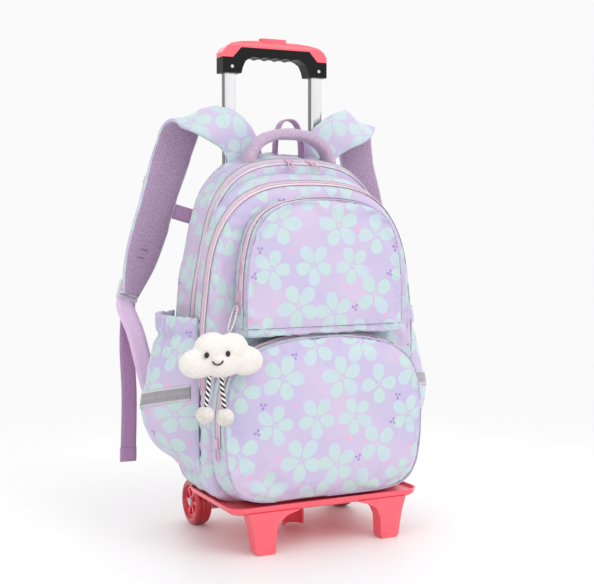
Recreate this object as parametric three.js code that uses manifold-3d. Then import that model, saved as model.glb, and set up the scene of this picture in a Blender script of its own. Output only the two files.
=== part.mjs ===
// A child's wheeled backpack: a soft zipped bag on a moulded tray with two front feet and two rear wheels,
// a two-stage trolley handle behind it, shoulder straps, a carry handle and a plush cloud charm.
// Millimetres. X runs to the right seen from the front, Y to the back and Z up. Before the last lines,
// Y = 0 is the front of the pockets, X = 0 the middle of the bag and Z = 0 the ground.
import * as THREE from "three";
import { mergeVertices } from "three/addons/utils/BufferGeometryUtils.js";
import Module from "manifold-3d";

const wasm = await Module();
wasm.setup();

// Clearance between pieces that touch
const clearance = 0.3;

// The bag and its compartments, from front to back
const bagFloor = 56.5;
const bagHalfWidth = 145;
const mainHeight = 431;
const mainDepth = 64;
const middleTopBelowMain = 40.5;
const middleDepth = 46;
const pocketDepth = 38;
const lowerPocketFloor = 60.5;
const lowerPocketHeight = 200;
const lowerPocketHalfWidth = 137;
const upperPocketGap = 5;
const upperPocketHeight = 162;
const upperPocketHalfWidth = 108;
const upperPocketSetback = 1.5;
const clothWall = 2.4;
const backPanelThickness = 5.2;
const backPanelInset = 6;

// Zips
const zipWidth = 11.4;
const zipProud = 0.6;
const mainZipBehindSeam = 6.3;
const middleZipBehindFront = 14;
const pocketZipBehindFront = 20;
const sliderLength = 10;
const sliderWidth = 7;
const sliderHeight = 3;
const pullLength = 21;
const pullWidth = 7;
const pullThickness = 1.6;

// Side pockets
const sidePocketFloor = 92;
const sidePocketHeight = 191;
const sidePocketBulge = 56;
const sidePocketFront = 62;
const sidePocketBehindPanelFront = 0.7;
const sidePocketWall = 2;
const hemThickness = 1.6;
const hemHeight = 20;
const stripWidth = 19;
const stripHeightAboveGround = 193;
const stripThickness = 0.8;

// Trolley tubes, outside sizes across and front to back
const tubeSpacing = 126;
const tubeWall = 1.2;
const tubeCornerRadius = 3.5;
const innerTubeWidth = 17.5;
const innerTubeDepth = 12;
const tubeStep = 3;
const tubeBehindPanel = 0.7;
const outerTubeTop = 470;
const middleTubeTop = 473;
const middleTubeFloor = 76;
const innerTubeFloor = 190;

// Grip
const gripHalfWidth = 75.5;
const gripTop = 636.5;
const gripHeight = 44.5;
const gripDepth = 22;
const gripEdgeRadius = 9;
const blockHeight = 20.2;
const blockWidth = 26;
const barHeight = 24.5;
const coverHeight = 11;
const fingerGrooves = 5;
const grooveRise = 2;
const socketDepth = 14;
const buttonLength = 38;
const buttonWidth = 13;
const buttonProud = 3;
const buttonHeight = 9;
const buttonTravel = 3;
const screwRadius = 2.3;
const screwAboveGripFloor = 8;

// Tray, feet and stay
const trayInset = 14;
const trayFront = -4;
const trayBehindPanelFront = 3.2;
const trayCornerRadius = 20;
const trayUnderside = 50.5;
const trayRimTop = 59.5;
const trayRimWall = 2.2;
const footDepth = 20;
const footInset = 33;
const footWidth = 24.5;
const footFlare = 11;
const archRise = 22;
const stayRadius = 15;
const stayWall = 3;
const stayClearOfGround = 2.5;
const stayBehindFront = 100;
const clipLength = 17;
const clipWidth = 7;
const clipThickness = 4;

// Wheels
const wheelRadius = 30;
const wheelWidth = 22;
const wheelSpacing = 215;
const wheelBehindTray = 20.5;
const wheelGap = 2.5;
const tyreThickness = 9;
const hubSpokes = 6;
const axleRadius = 3;
const axleCapRadius = 5;
const axleCapThickness = 2.5;
const axleSides = 12;
const cheekGap = 3.5;
const beamBehindWheel = 14;
const cheekWidth = 14;
const cheekRadius = 13;

// Shoulder straps
const strapWidth = 52;
const strapThickness = 11;
const strapReach = 188;
const strapAheadOfPanel = 3.8;
const strapRightLean = 24;
const strapBackReach = 62;
const strapFootBelowTop = 183.5;
const strapRise = 238;
const lockWidth = 30;
const lockHeight = 24;
const lockThickness = 5;
const webbingWidth = 25;
const webbingThickness = 1.6;
const webbingTurnBelowFoot = 50;
const webbingBendBelowFoot = 130;
const tailTurnBelowStart = 60;
const tailBendBelowStart = 125;
const tailFootHeight = 84;
const chestStrapWidth = 20;
const chestStrapLength = 24;
const chestBuckleLength = 9;
const chestStrapAboveFoot = 141;
const strapSteps = 16;

// Carry handle and hang loop
const handleHalfSpan = 58;
const handleRise = 31.5;
const handleThickness = 14;
const handleDepth = 26;
const handleBehindSeam = 28;
const loopHalfSpan = 19;
const loopRise = 45.5;
const loopThickness = 2;
const loopDepth = 14;
const loopBehindSeam = 48.5;
const loopOffset = 8;

// Cloud charm
const cloudWidth = 104;
const cloudHeight = 54;
const cloudDepth = 30;
const cloudBesidePocket = 42;
const cloudAheadOfPocket = 19.5;
const cloudBelowPocket = 18.5;
const chainBesidePocket = 7.6;
const chainAheadOfZip = 2;
const chainTopAbovePocketFloor = 34.5;
const chainWidth = 9;
const charmLegDiameter = 5;
const pompomRadius = 10.4;
const pompomLockHeight = 1.5;
const beadRadius = 1.6;
const beadPitch = 5.8;
const beadLinkRadius = 0.6;
const beadSides = 10;

// Outlines seen from the front: right-hand halves from the middle of the floor to the middle of the top,
// half: share of the half width, rise: share of the height
const MAIN_OUTLINE = [
  { half: 0, rise: 0 },
  { half: 0.76, rise: 0 },
  { half: 0.9, rise: 0.022 },
  { half: 0.97, rise: 0.065 },
  { half: 1, rise: 0.15 },
  { half: 1, rise: 0.32 },
  { half: 0.994, rise: 0.5 },
  { half: 0.965, rise: 0.612 },
  { half: 0.91, rise: 0.71 },
  { half: 0.852, rise: 0.8 },
  { half: 0.78, rise: 0.873 },
  { half: 0.68, rise: 0.925 },
  { half: 0.595, rise: 0.953 },
  { half: 0.455, rise: 0.98 },
  { half: 0.25, rise: 0.996 },
  { half: 0, rise: 1 },
];
const MIDDLE_OUTLINE = [
  { half: 0, rise: 0 },
  { half: 0.76, rise: 0 },
  { half: 0.9, rise: 0.024 },
  { half: 0.97, rise: 0.072 },
  { half: 1, rise: 0.165 },
  { half: 1, rise: 0.35 },
  { half: 0.998, rise: 0.552 },
  { half: 0.972, rise: 0.652 },
  { half: 0.945, rise: 0.734 },
  { half: 0.897, rise: 0.81 },
  { half: 0.814, rise: 0.877 },
  { half: 0.697, rise: 0.931 },
  { half: 0.552, rise: 0.967 },
  { half: 0.366, rise: 0.99 },
  { half: 0, rise: 1 },
];
const LOWER_OUTLINE = [
  { half: 0, rise: 0 },
  { half: 0.68, rise: 0.012 },
  { half: 0.86, rise: 0.06 },
  { half: 0.945, rise: 0.145 },
  { half: 0.985, rise: 0.26 },
  { half: 1, rise: 0.4 },
  { half: 0.997, rise: 0.55 },
  { half: 0.965, rise: 0.7 },
  { half: 0.93, rise: 0.775 },
  { half: 0.87, rise: 0.838 },
  { half: 0.73, rise: 0.912 },
  { half: 0.47, rise: 0.972 },
  { half: 0.2, rise: 0.996 },
  { half: 0, rise: 1 },
];
const UPPER_OUTLINE = [
  { half: 0, rise: 0 },
  { half: 0.95, rise: 0 },
  { half: 0.99, rise: 0.03 },
  { half: 1, rise: 0.25 },
  { half: 0.985, rise: 0.42 },
  { half: 0.93, rise: 0.61 },
  { half: 0.81, rise: 0.795 },
  { half: 0.69, rise: 0.885 },
  { half: 0.51, rise: 0.945 },
  { half: 0.28, rise: 0.985 },
  { half: 0, rise: 1 },
];

// How each compartment's outline changes from its front to its back,
// at: share of the depth, size: scale about the middle of the outline, lift: scale of the height
const MAIN_DEPTHS = [
  { at: 0, size: 0.975, lift: 0.972 },
  { at: 0.12, size: 1, lift: 0.978 },
  { at: 0.9, size: 1, lift: 1 },
  { at: 1, size: 0.982, lift: 1 },
];
const MIDDLE_DEPTHS = [
  { at: 0, size: 0.965, lift: 0.985 },
  { at: 0.3, size: 1, lift: 1 },
  { at: 0.9, size: 1, lift: 1.036 },
  { at: 1, size: 0.985, lift: 1.036 },
];
const LOWER_DEPTHS = [
  { at: 0, size: 0.72, lift: 1 },
  { at: 0.1, size: 0.98, lift: 1 },
  { at: 0.2, size: 1, lift: 1 },
  { at: 1, size: 1.03, lift: 1 },
];
const UPPER_DEPTHS = [
  { at: 0, size: 0.72, lift: 1 },
  { at: 0.1, size: 0.98, lift: 1 },
  { at: 0.2, size: 1, lift: 1 },
  { at: 1, size: 1.015, lift: 1 },
];

// Side pocket from its floor to its hem, rise: share of the height, bulge: share of the bulge
const SIDE_POCKET_ROWS = [
  { rise: 0, bulge: 0.04 },
  { rise: 0.052, bulge: 0.19 },
  { rise: 0.147, bulge: 0.6 },
  { rise: 0.257, bulge: 0.86 },
  { rise: 0.419, bulge: 1 },
  { rise: 0.602, bulge: 0.88 },
  { rise: 0.89, bulge: 0.54 },
  { rise: 1, bulge: 0.47 },
];

// Left shoulder strap from its root to its foot. out: share of the reach from the middle, back: share of the
// reach behind the root, up: share of the rise above the foot, wide: share of the width, and the direction
// across the strap as slants to the back and upwards for a unit to the right
const STRAP_ROWS = [
  { out: 0.255, back: 0, up: 0.68, wide: 0.98, slantBack: 0, slantUp: 0.1 },
  { out: 0.261, back: 0, up: 0.75, wide: 0.98, slantBack: 0, slantUp: 0.12 },
  { out: 0.309, back: 0, up: 0.838, wide: 1, slantBack: 0, slantUp: 0.36 },
  { out: 0.378, back: 0, up: 0.893, wide: 1, slantBack: -0.08, slantUp: 0.42 },
  { out: 0.463, back: 0.05, up: 0.928, wide: 1, slantBack: -0.3, slantUp: 0.45 },
  { out: 0.543, back: 0.21, up: 0.953, wide: 1, slantBack: -0.36, slantUp: 0.42 },
  { out: 0.596, back: 0.54, up: 0.958, wide: 1, slantBack: -0.12, slantUp: 0.36 },
  { out: 0.633, back: 0.8, up: 0.893, wide: 1, slantBack: 0, slantUp: 0.25 },
  { out: 0.668, back: 0.92, up: 0.8, wide: 1, slantBack: 0.12, slantUp: 0.16 },
  { out: 0.734, back: 0.97, up: 0.63, wide: 1, slantBack: 0.2, slantUp: 0.16 },
  { out: 0.809, back: 0.98, up: 0.445, wide: 1, slantBack: 0.2, slantUp: 0.18 },
  { out: 0.894, back: 0.96, up: 0.235, wide: 0.96, slantBack: 0.2, slantUp: 0.22 },
  { out: 0.963, back: 0.93, up: 0.075, wide: 0.76, slantBack: 0.2, slantUp: 0.24 },
  { out: 0.992, back: 0.91, up: 0, wide: 0.42, slantBack: 0.2, slantUp: 0.24 },
];

// Lobes of the cloud, out and up: shares of the half width and half height, wide and tall: likewise
const CLOUD_LOBES = [
  { out: -0.56, up: -0.3, wide: 0.44, tall: 0.64, deep: 0.86 },
  { out: 0.58, up: -0.3, wide: 0.42, tall: 0.64, deep: 0.86 },
  { out: -0.22, up: 0.3, wide: 0.42, tall: 0.7, deep: 0.96 },
  { out: 0.24, up: 0.24, wide: 0.4, tall: 0.7, deep: 0.94 },
  { out: 0, up: -0.22, wide: 0.6, tall: 0.74, deep: 1 },
];

// Free cords of the charm, by hand: route points down to each pompom, from the middle of the cloud
const CHARM_LEG_ROUTES = {
  charm_leg_left: [
    [-15, 0, -21],
    [-16.5, -1.5, -34],
    [-18, -0.5, -47],
    [-18.5, 1.5, -58],
  ],
  charm_leg_right: [
    [0, -1, -22],
    [-0.5, -2.5, -36],
    [0.5, -4, -49],
    [1.5, -4, -61],
  ],
};

// The ball chain's loop, t: share of the way down, s: share of half its width
const CHAIN_LOOP = [
  { t: 0, s: 0 },
  { t: 0.12, s: 0.8 },
  { t: 0.5, s: 1 },
  { t: 0.88, s: 0.8 },
  { t: 1, s: 0 },
  { t: 0.88, s: -0.8 },
  { t: 0.5, s: -1 },
  { t: 0.12, s: -0.8 },
];

// Zip sliders: zip, along: share of the zip from its left end, pull: direction of the hanging pull
const SLIDERS = [
  { name: "slider_main_left", zip: "main", along: 0.482, pull: [-0.1, -1, -0.16] },
  { name: "slider_main_right", zip: "main", along: 0.524, pull: [0.35, -1, -0.16] },
  { name: "slider_middle", zip: "middle", along: 0.02, pull: [0, 0, -1] },
  { name: "slider_upper_low", zip: "upper", along: 0.03, pull: [0, 0, -1] },
  { name: "slider_upper_high", zip: "upper", along: 0.14, pull: [0, 0, -1] },
  { name: "slider_lower", zip: "lower", along: 0.02, pull: [0, 0, -1] },
];

// Places worked out from the sizes above
const middleFront = pocketDepth;
const mainFront = middleFront + middleDepth;
const panelFront = mainFront + mainDepth + clearance;
const tubeCentre = panelFront + backPanelThickness + tubeBehindPanel + innerTubeDepth / 2 + tubeStep;
const upperPocketFloor = lowerPocketFloor + lowerPocketHeight + upperPocketGap;
const bagTop = bagFloor + mainHeight;
const middleHeight = mainHeight - middleTopBelowMain;
const sidePocketBack = panelFront + sidePocketBehindPanelFront;
const handleTop = bagTop + handleRise;
const handleCentre = mainFront + handleBehindSeam;
const loopTop = bagTop + loopRise;
const loopCentre = mainFront + loopBehindSeam;
const strapSetback = panelFront - strapAheadOfPanel;
const strapFootHeight = bagTop - strapFootBelowTop;
const chestStrapHeight = strapFootHeight + chestStrapAboveFoot;
const gripFloor = gripTop - gripHeight;
const barFloor = gripTop - barHeight;
const coverFloorAtMiddle = gripTop - coverHeight;
const buttonTop = gripTop + buttonProud;
const screwHeight = gripFloor + screwAboveGripFloor;
const trayHalfWidth = bagHalfWidth - trayInset;
const trayBack = panelFront + trayBehindPanelFront;
const trayFloor = bagFloor - clearance;
const footOutside = trayHalfWidth - footInset;
const wheelBehindFront = trayBack + wheelBehindTray;
const beamHalfWidth = wheelSpacing / 2 - wheelWidth / 2 - cheekGap;
const beamBack = wheelBehindFront + beamBehindWheel;
const cloudMiddle = [
  -upperPocketHalfWidth - cloudBesidePocket,
  upperPocketSetback - cloudAheadOfPocket,
  upperPocketFloor - cloudBelowPocket,
];
const chainTopPlace = [
  -upperPocketHalfWidth - chainBesidePocket,
  upperPocketSetback + pocketZipBehindFront - chainAheadOfZip,
  upperPocketFloor + chainTopAbovePocketFloor,
];

// Colours, roughness and metalness
const finishes = {
  print: { color: 0xd8c8e8, roughness: 0.75, metalness: 0 },
  mesh: { color: 0xa58ab0, roughness: 0.9, metalness: 0 },
  heather: { color: 0xcdb2d6, roughness: 0.9, metalness: 0 },
  webbing: { color: 0xc4a0d0, roughness: 0.8, metalness: 0 },
  zip: { color: 0xe8cdd8, roughness: 0.6, metalness: 0 },
  pull: { color: 0xe0b8cc, roughness: 0.4, metalness: 0.2 },
  reflective: { color: 0xb4b2b0, roughness: 0.5, metalness: 0.1 },
  coral: { color: 0xfa6e7d, roughness: 0.4, metalness: 0 },
  black: { color: 0x151515, roughness: 0.5, metalness: 0 },
  aluminium: { color: 0xd6d6d8, roughness: 0.3, metalness: 1 },
  steel: { color: 0xc8c8ca, roughness: 0.3, metalness: 1 },
  tyre: { color: 0xb02238, roughness: 0.3, metalness: 0 },
  clear: { color: 0xe6e6ea, roughness: 0.3, metalness: 0 },
  plush: { color: 0xf6f2ee, roughness: 0.95, metalness: 0 },
  cord: { color: 0x2a2a2a, roughness: 0.85, metalness: 0 },
};

const bag = new THREE.Group();

// Adds one named piece to the bag.
function add(name, finish, geometry) {
  const material = new THREE.MeshStandardMaterial({ ...finishes[finish], flatShading: true });
  const mesh = new THREE.Mesh(geometry, material);
  mesh.name = name;
  bag.add(mesh);
  return mesh;
}

// Adds a piece given for the left side, and its mirror image on the right.
function addPair(name, finish, geometry) {
  add(`${name}_left`, finish, geometry);
  add(`${name}_right`, finish, mirrored(geometry));
}

// The mirror image of a closed geometry in the plane X = 0, with its faces still pointing out.
function mirrored(geometry) {
  const copy = geometry.index ? geometry.toNonIndexed() : geometry.clone();
  const position = copy.getAttribute("position");
  for (let i = 0; i < position.count; i += 3) {
    const corners = [0, 2, 1].map((k) => new THREE.Vector3().fromBufferAttribute(position, i + k));
    corners.forEach((p, k) => position.setXYZ(i + k, -p.x, p.y, p.z));
  }
  return onlyPositions(copy);
}

// A geometry with nothing but its positions, its shared corners merged.
function onlyPositions(geometry) {
  const plain = geometry.clone();
  for (const name of Object.keys(plain.attributes)) {
    if (name !== "position") plain.deleteAttribute(name);
  }
  return mergeVertices(plain, 1e-3);
}

function solidOf(geometry) {
  const plain = onlyPositions(geometry);
  return new wasm.Manifold(
    new wasm.Mesh({
      numProp: 3,
      vertProperties: plain.getAttribute("position").array,
      triVerts: new Uint32Array(plain.index.array),
    }),
  );
}

function geometryOf(solid) {
  const mesh = solid.getMesh();
  const geometry = new THREE.BufferGeometry();
  geometry.setAttribute("position", new THREE.BufferAttribute(mesh.vertProperties, 3));
  geometry.setIndex(new THREE.BufferAttribute(mesh.triVerts, 1));
  return geometry;
}

// One geometry from several that overlap.
function join(...geometries) {
  return geometryOf(geometries.map(solidOf).reduce((all, next) => all.add(next)));
}

// An outline extruded along Z.
function extruded(shape, depth, curveSegments) {
  return new THREE.ExtrudeGeometry(shape, { depth, bevelEnabled: false, curveSegments });
}

// What two geometries have in common.
function meet(a, b) {
  return geometryOf(solidOf(a).intersect(solidOf(b)));
}

// A geometry less every tool, keeping its largest body.
function cut(geometry, ...tools) {
  const left = tools.map(solidOf).reduce((rest, tool) => rest.subtract(tool), solidOf(geometry));
  const bodies = left.decompose();
  return geometryOf(bodies.reduce((best, next) => (next.volume() > best.volume() ? next : best)));
}

// A closed geometry from points and triangles, turned so that its faces point out.
function closedGeometry(points, faces) {
  let volume = 0;
  for (const [a, b, c] of faces) volume += points[a].dot(points[b].clone().cross(points[c]));
  const turned = volume < 0 ? faces.map(([a, b, c]) => [a, c, b]) : faces;
  const geometry = new THREE.BufferGeometry();
  const flat = points.flatMap((p) => [p.x, p.y, p.z]);
  geometry.setAttribute("position", new THREE.Float32BufferAttribute(flat, 3));
  geometry.setIndex(turned.flat());
  return geometry;
}

// The triangles that close a ring of points, wound as the ring is.
function capFaces(ring) {
  const normal = new THREE.Vector3();
  ring.forEach((p, i) => {
    const q = ring[(i + 1) % ring.length];
    normal.x += (p.y - q.y) * (p.z + q.z);
    normal.y += (p.z - q.z) * (p.x + q.x);
    normal.z += (p.x - q.x) * (p.y + q.y);
  });
  const size = normal.toArray().map(Math.abs);
  const drop = size.indexOf(Math.max(...size));
  const flat = ring.map((p) => {
    const kept = p.toArray().filter((_, k) => k !== drop);
    return new THREE.Vector2(...kept);
  });
  const winding = Math.sign(THREE.ShapeUtils.area(flat));
  return THREE.ShapeUtils.triangulateShape(flat, []).map(([a, b, c]) => {
    const area = THREE.ShapeUtils.area([flat[a], flat[b], flat[c]]);
    return Math.sign(area) === winding ? [a, b, c] : [a, c, b];
  });
}

// A closed skin through rings that have the same number of points.
function loft(rings) {
  const count = rings[0].length;
  const faces = [];
  for (let r = 0; r + 1 < rings.length; r++) {
    for (let i = 0; i < count; i++) {
      const a = r * count + i;
      const b = r * count + ((i + 1) % count);
      faces.push([a, b, b + count], [a, b + count, a + count]);
    }
  }
  const last = (rings.length - 1) * count;
  for (const [a, b, c] of capFaces(rings[0])) faces.push([a, c, b]);
  for (const [a, b, c] of capFaces(rings.at(-1))) faces.push([a + last, b + last, c + last]);
  return closedGeometry(rings.flat(), faces);
}

// A closed skin through rings that go round to the first again.
function closedLoop(rings) {
  const count = rings[0].length;
  const faces = [];
  rings.forEach((_, r) => {
    const next = ((r + 1) % rings.length) * count;
    for (let i = 0; i < count; i++) {
      const j = (i + 1) % count;
      faces.push([r * count + i, r * count + j, next + j], [r * count + i, next + j, next + i]);
    }
  });
  return closedGeometry(rings.flat(), faces);
}

// A value from rows sorted by a key, between rows in proportion.
function between(rows, key, at, value) {
  const next = rows.findIndex((row) => row[key] >= at);
  if (next === 0) return rows[0][value];
  if (next < 0) return rows.at(-1)[value];
  const [a, b] = [rows[next - 1], rows[next]];
  const span = b[key] - a[key];
  return span === 0 ? b[value] : a[value] + ((at - a[key]) / span) * (b[value] - a[value]);
}

// A soft compartment: its outline at any depth, its skins, and the band that its zip fills.
function compartment({ outline, depths, halfWidth, height, floor, front, depth, zipAt, zipLow }) {
  const rows = outline.map(({ half, rise }) => [half * halfWidth, rise * height]);
  const loop = [...rows, ...rows.slice(1, -1).reverse().map(([x, z]) => [-x, z])];
  const middle = height / 2;

  // The ring of the outline at depth y, scaled by size and lift and moved out by an offset.
  const ringOf = (size, lift, y, offset) => {
    const flat = loop.map(([x, z]) => {
      const scaled = middle + (z - middle) * size;
      return new THREE.Vector2(x * size, floor + scaled * lift);
    });
    return flat.map((p, i) => {
      const along = flat[(i + 1) % flat.length].clone().sub(flat.at(i - 1)).normalize();
      return new THREE.Vector3(p.x + along.y * offset, y, p.y - along.x * offset);
    });
  };
  const ringAt = (y, offset) => {
    const at = (y - front) / depth;
    const [size, lift] = ["size", "lift"].map((value) => between(depths, "at", at, value));
    return ringOf(size, lift, y, offset);
  };
  // A point on the ring, a whole number at each row and in proportion between rows.
  const pointAt = (place, y, offset) => {
    const ring = ringAt(y, offset);
    const i = Math.floor(place);
    return ring.at(i % ring.length).clone().lerp(ring.at((i + 1) % ring.length), place - i);
  };
  const skin = (offset, inwards) =>
    loft(
      depths.map(({ at, size, lift }) => {
        const y = front + at * depth + inwards * (1 - 2 * at);
        return ringOf(size, lift, y, offset);
      }),
    );

  // Places where the zip starts and ends, on the right and on the left
  const low = outline.findIndex(({ rise }) => rise > zipLow);
  const share = (zipLow - outline[low - 1].rise) / (outline[low].rise - outline[low - 1].rise);
  const start = low - 1 + share;
  const end = loop.length - start;
  const zipPlaces = (extra) => {
    const whole = loop.map((_, i) => i).filter((i) => i > start && i < end);
    return [start - extra, ...whole, end + extra];
  };
  const band = (extra, half, inner, outer) =>
    loft(
      zipPlaces(extra).map((place) => [
        pointAt(place, front + zipAt - half, inner),
        pointAt(place, front + zipAt + half, inner),
        pointAt(place, front + zipAt + half, outer),
        pointAt(place, front + zipAt - half, outer),
      ]),
    );
  // Half the width of the outline at height z and depth y.
  const halfAt = (z, y) => {
    const right = ringAt(y, 0).slice(1, outline.length);
    const side = right.map((p) => ({ z: p.z, x: p.x }));
    return between(side, "z", z, "x");
  };
  // A point on the zip and its directions along, across and away from the bag.
  const zipFrame = (along, offset) => {
    const place = end + along * (start - end);
    const at = (shift, y, out) => pointAt(place + shift, front + zipAt + y, out);
    const point = at(0, zipWidth / 2, offset).lerp(at(0, -zipWidth / 2, offset), 0.5);
    const alongZip = at(-0.02, 0, 0).sub(at(0.02, 0, 0)).normalize();
    const acrossZip = at(0, zipWidth / 2, 0).sub(at(0, -zipWidth / 2, 0)).normalize();
    const outwards = new THREE.Vector3().crossVectors(alongZip, acrossZip).normalize();
    if (outwards.dot(at(0, 0, 1).sub(at(0, 0, 0))) < 0) outwards.negate();
    return { point, alongZip, acrossZip, outwards };
  };
  return { skin, band, halfAt, zipFrame, front, depth };
}

const compartments = {
  main: compartment({
    outline: MAIN_OUTLINE,
    depths: MAIN_DEPTHS,
    halfWidth: bagHalfWidth,
    height: mainHeight,
    floor: bagFloor,
    front: mainFront,
    depth: mainDepth,
    zipAt: mainZipBehindSeam,
    zipLow: 0.34,
  }),
  middle: compartment({
    outline: MIDDLE_OUTLINE,
    depths: MIDDLE_DEPTHS,
    halfWidth: bagHalfWidth,
    height: middleHeight,
    floor: bagFloor,
    front: middleFront,
    depth: middleDepth - clearance,
    zipAt: middleZipBehindFront,
    zipLow: 0.34,
  }),
  upper: compartment({
    outline: UPPER_OUTLINE,
    depths: UPPER_DEPTHS,
    halfWidth: upperPocketHalfWidth,
    height: upperPocketHeight,
    floor: upperPocketFloor,
    front: upperPocketSetback,
    depth: pocketDepth - clearance - upperPocketSetback,
    zipAt: pocketZipBehindFront,
    zipLow: 0.2,
  }),
  lower: compartment({
    outline: LOWER_OUTLINE,
    depths: LOWER_DEPTHS,
    halfWidth: lowerPocketHalfWidth,
    height: lowerPocketHeight,
    floor: lowerPocketFloor,
    front: 0,
    depth: pocketDepth - clearance,
    zipAt: pocketZipBehindFront,
    zipLow: 0.34,
  }),
};

// A compartment's shell is its skin less its hollow, open along the zip, and the zip lies in that opening.
function addCompartment(name, shape) {
  const hollow = shape.skin(-clothWall, clothWall);
  const slot = shape.band(0.02, zipWidth / 2 + clearance, -clothWall - 2, clothWall + 2);
  add(name, "print", cut(shape.skin(0, 0), hollow, slot));
}
addCompartment("main_compartment", compartments.main);
addCompartment("middle_compartment", compartments.middle);
addCompartment("upper_pocket", compartments.upper);
addCompartment("lower_pocket", compartments.lower);
for (const [name, shape] of Object.entries(compartments)) {
  add(`${name}_zip`, "zip", shape.band(0, zipWidth / 2, -clothWall, zipProud));
}

// A geometry moved from its own axes to an origin, its x, y and z axes laid along the given directions.
function placed(geometry, origin, xAxis, yAxis, zAxis) {
  const basis = new THREE.Matrix4().makeBasis(xAxis, yAxis, zAxis).setPosition(origin);
  return geometry.clone().applyMatrix4(basis);
}

// A slider with its pull: a block on the zip, and a slotted tab that hangs from it.
function slider(shape, along, pull) {
  const { point, acrossZip, outwards } = shape.zipFrame(along, zipProud + clearance);
  const alongZip = new THREE.Vector3().crossVectors(acrossZip, outwards).normalize();
  const body = new THREE.BoxGeometry(sliderLength, sliderWidth, sliderHeight);
  const centre = point.clone().addScaledVector(outwards, sliderHeight / 2);
  const block = placed(body, centre, alongZip, acrossZip, outwards);

  const tab = new THREE.Shape();
  tab.absarc(0, pullWidth / 2, pullWidth / 2, Math.PI, 2 * Math.PI);
  tab.lineTo(pullWidth / 2 - 1, pullLength);
  tab.lineTo(1 - pullWidth / 2, pullLength);
  const eye = new THREE.Path();
  eye.absarc(0, pullWidth / 2 + 0.5, pullWidth / 2 - 1.4, Math.PI, 2 * Math.PI);
  eye.lineTo(pullWidth / 2 - 2.2, pullLength - 5);
  eye.lineTo(2.2 - pullWidth / 2, pullLength - 5);
  eye.closePath();
  tab.holes.push(eye);
  const plate = extruded(tab, pullThickness, 2);
  const down = new THREE.Vector3(...pull);
  down.addScaledVector(outwards, -down.dot(outwards)).normalize();
  const side = new THREE.Vector3().crossVectors(outwards, down);
  const top = centre.clone().addScaledVector(down, pullLength + sliderWidth / 2 - 1.5);
  top.addScaledVector(outwards, sliderHeight / 2 - pullThickness);
  const hung = placed(plate, top, side, down.clone().negate(), outwards);
  return join(block, hung);
}
for (const { name, zip, along, pull } of SLIDERS) {
  add(name, "pull", slider(compartments[zip], along, pull));
}

// The padded back panel, within the outline of the main compartment
const panelRing = (y, inset) => {
  const right = MAIN_OUTLINE.map(({ half, rise }) => {
    const z = bagFloor + inset + rise * (mainHeight - 2 * inset);
    return new THREE.Vector3(half * (bagHalfWidth - inset), y, z);
  });
  const left = right.slice(1, -1).reverse().map((p) => new THREE.Vector3(-p.x, p.y, p.z));
  return [...right, ...left];
};
const panelBack = panelFront + backPanelThickness;
add(
  "back_panel",
  "mesh",
  loft([
    panelRing(panelFront, backPanelInset),
    panelRing(panelBack - backPanelThickness / 3, backPanelInset),
    panelRing(panelBack, backPanelInset + backPanelThickness),
  ]),
);

// Half the width of the bag at height z, with room for a piece that lies against its side.
const bagSide = (z) => {
  const main = [0.12, 0.6, 0.9].map((at) => compartments.main.halfAt(z, mainFront + at * mainDepth));
  const middle = [0.3, 0.6, 0.9].map((at) => compartments.middle.halfAt(z, middleFront + at * middleDepth));
  return Math.max(...main, ...middle) + clearance;
};
const sidePocketSteps = 6;
const pocketX = (z, share, extra) => {
  const bulge = between(SIDE_POCKET_ROWS, "rise", (z - sidePocketFloor) / sidePocketHeight, "bulge");
  return bagSide(z) + clearance + bulge * sidePocketBulge * Math.sin(Math.PI * share ** 1.15) ** 0.55 + extra;
};
const pocketY = (share) => sidePocketFront + share * (sidePocketBack - sidePocketFront);

// A ring of the side pocket at height z: the inside from front to back, then the outside back again.
function pocketRing(z, inner, outer) {
  const shares = Array.from({ length: sidePocketSteps + 1 }, (_, i) => i / sidePocketSteps);
  const inside = shares.map((s) => new THREE.Vector3(-pocketX(z, s, inner), pocketY(s), z));
  const outside = shares.map((s) => new THREE.Vector3(-pocketX(z, s, outer), pocketY(s), z));
  return [...inside, ...outside.reverse()];
}
const sidePocketTop = sidePocketFloor + sidePocketHeight;
const outlineHeights = [...MAIN_OUTLINE, ...MIDDLE_OUTLINE].map(({ rise }, i) => {
  const height = i < MAIN_OUTLINE.length ? mainHeight : middleHeight;
  return bagFloor + rise * height;
});
const pocketHeights = [
  ...SIDE_POCKET_ROWS.map(({ rise }) => sidePocketFloor + rise * sidePocketHeight),
  ...outlineHeights.filter((z) => z > sidePocketFloor + 4 && z < sidePocketTop - hemHeight - 4),
]
  .sort((a, b) => a - b)
  .filter((z, i, all) => i === 0 || z - all[i - 1] > 3);
const hemFloor = sidePocketTop - hemHeight;
const bodyRings = pocketHeights.filter((z) => z < hemFloor - 1).map((z) => pocketRing(z, 0, sidePocketWall));
const hemRings = [hemFloor, hemFloor + 1.5, sidePocketTop].map((z, i) =>
  pocketRing(z, 0, sidePocketWall + (i === 0 ? 0 : hemThickness)),
);
addPair("side_pocket", "print", loft([...bodyRings, ...hemRings]));

// The reflective strip on each side pocket
const stripGap = sidePocketWall + 4 * clearance;
const stripFloor = stripHeightAboveGround - stripWidth / 2;
const stripTop = stripFloor + stripWidth;
const stripHeights = [stripFloor, ...pocketHeights.filter((z) => z > stripFloor && z < stripTop), stripTop];
const stripRings = stripHeights.map((z) => pocketRing(z, stripGap, stripGap + stripThickness));
addPair("reflective_strip", "reflective", loft(stripRings));

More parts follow.
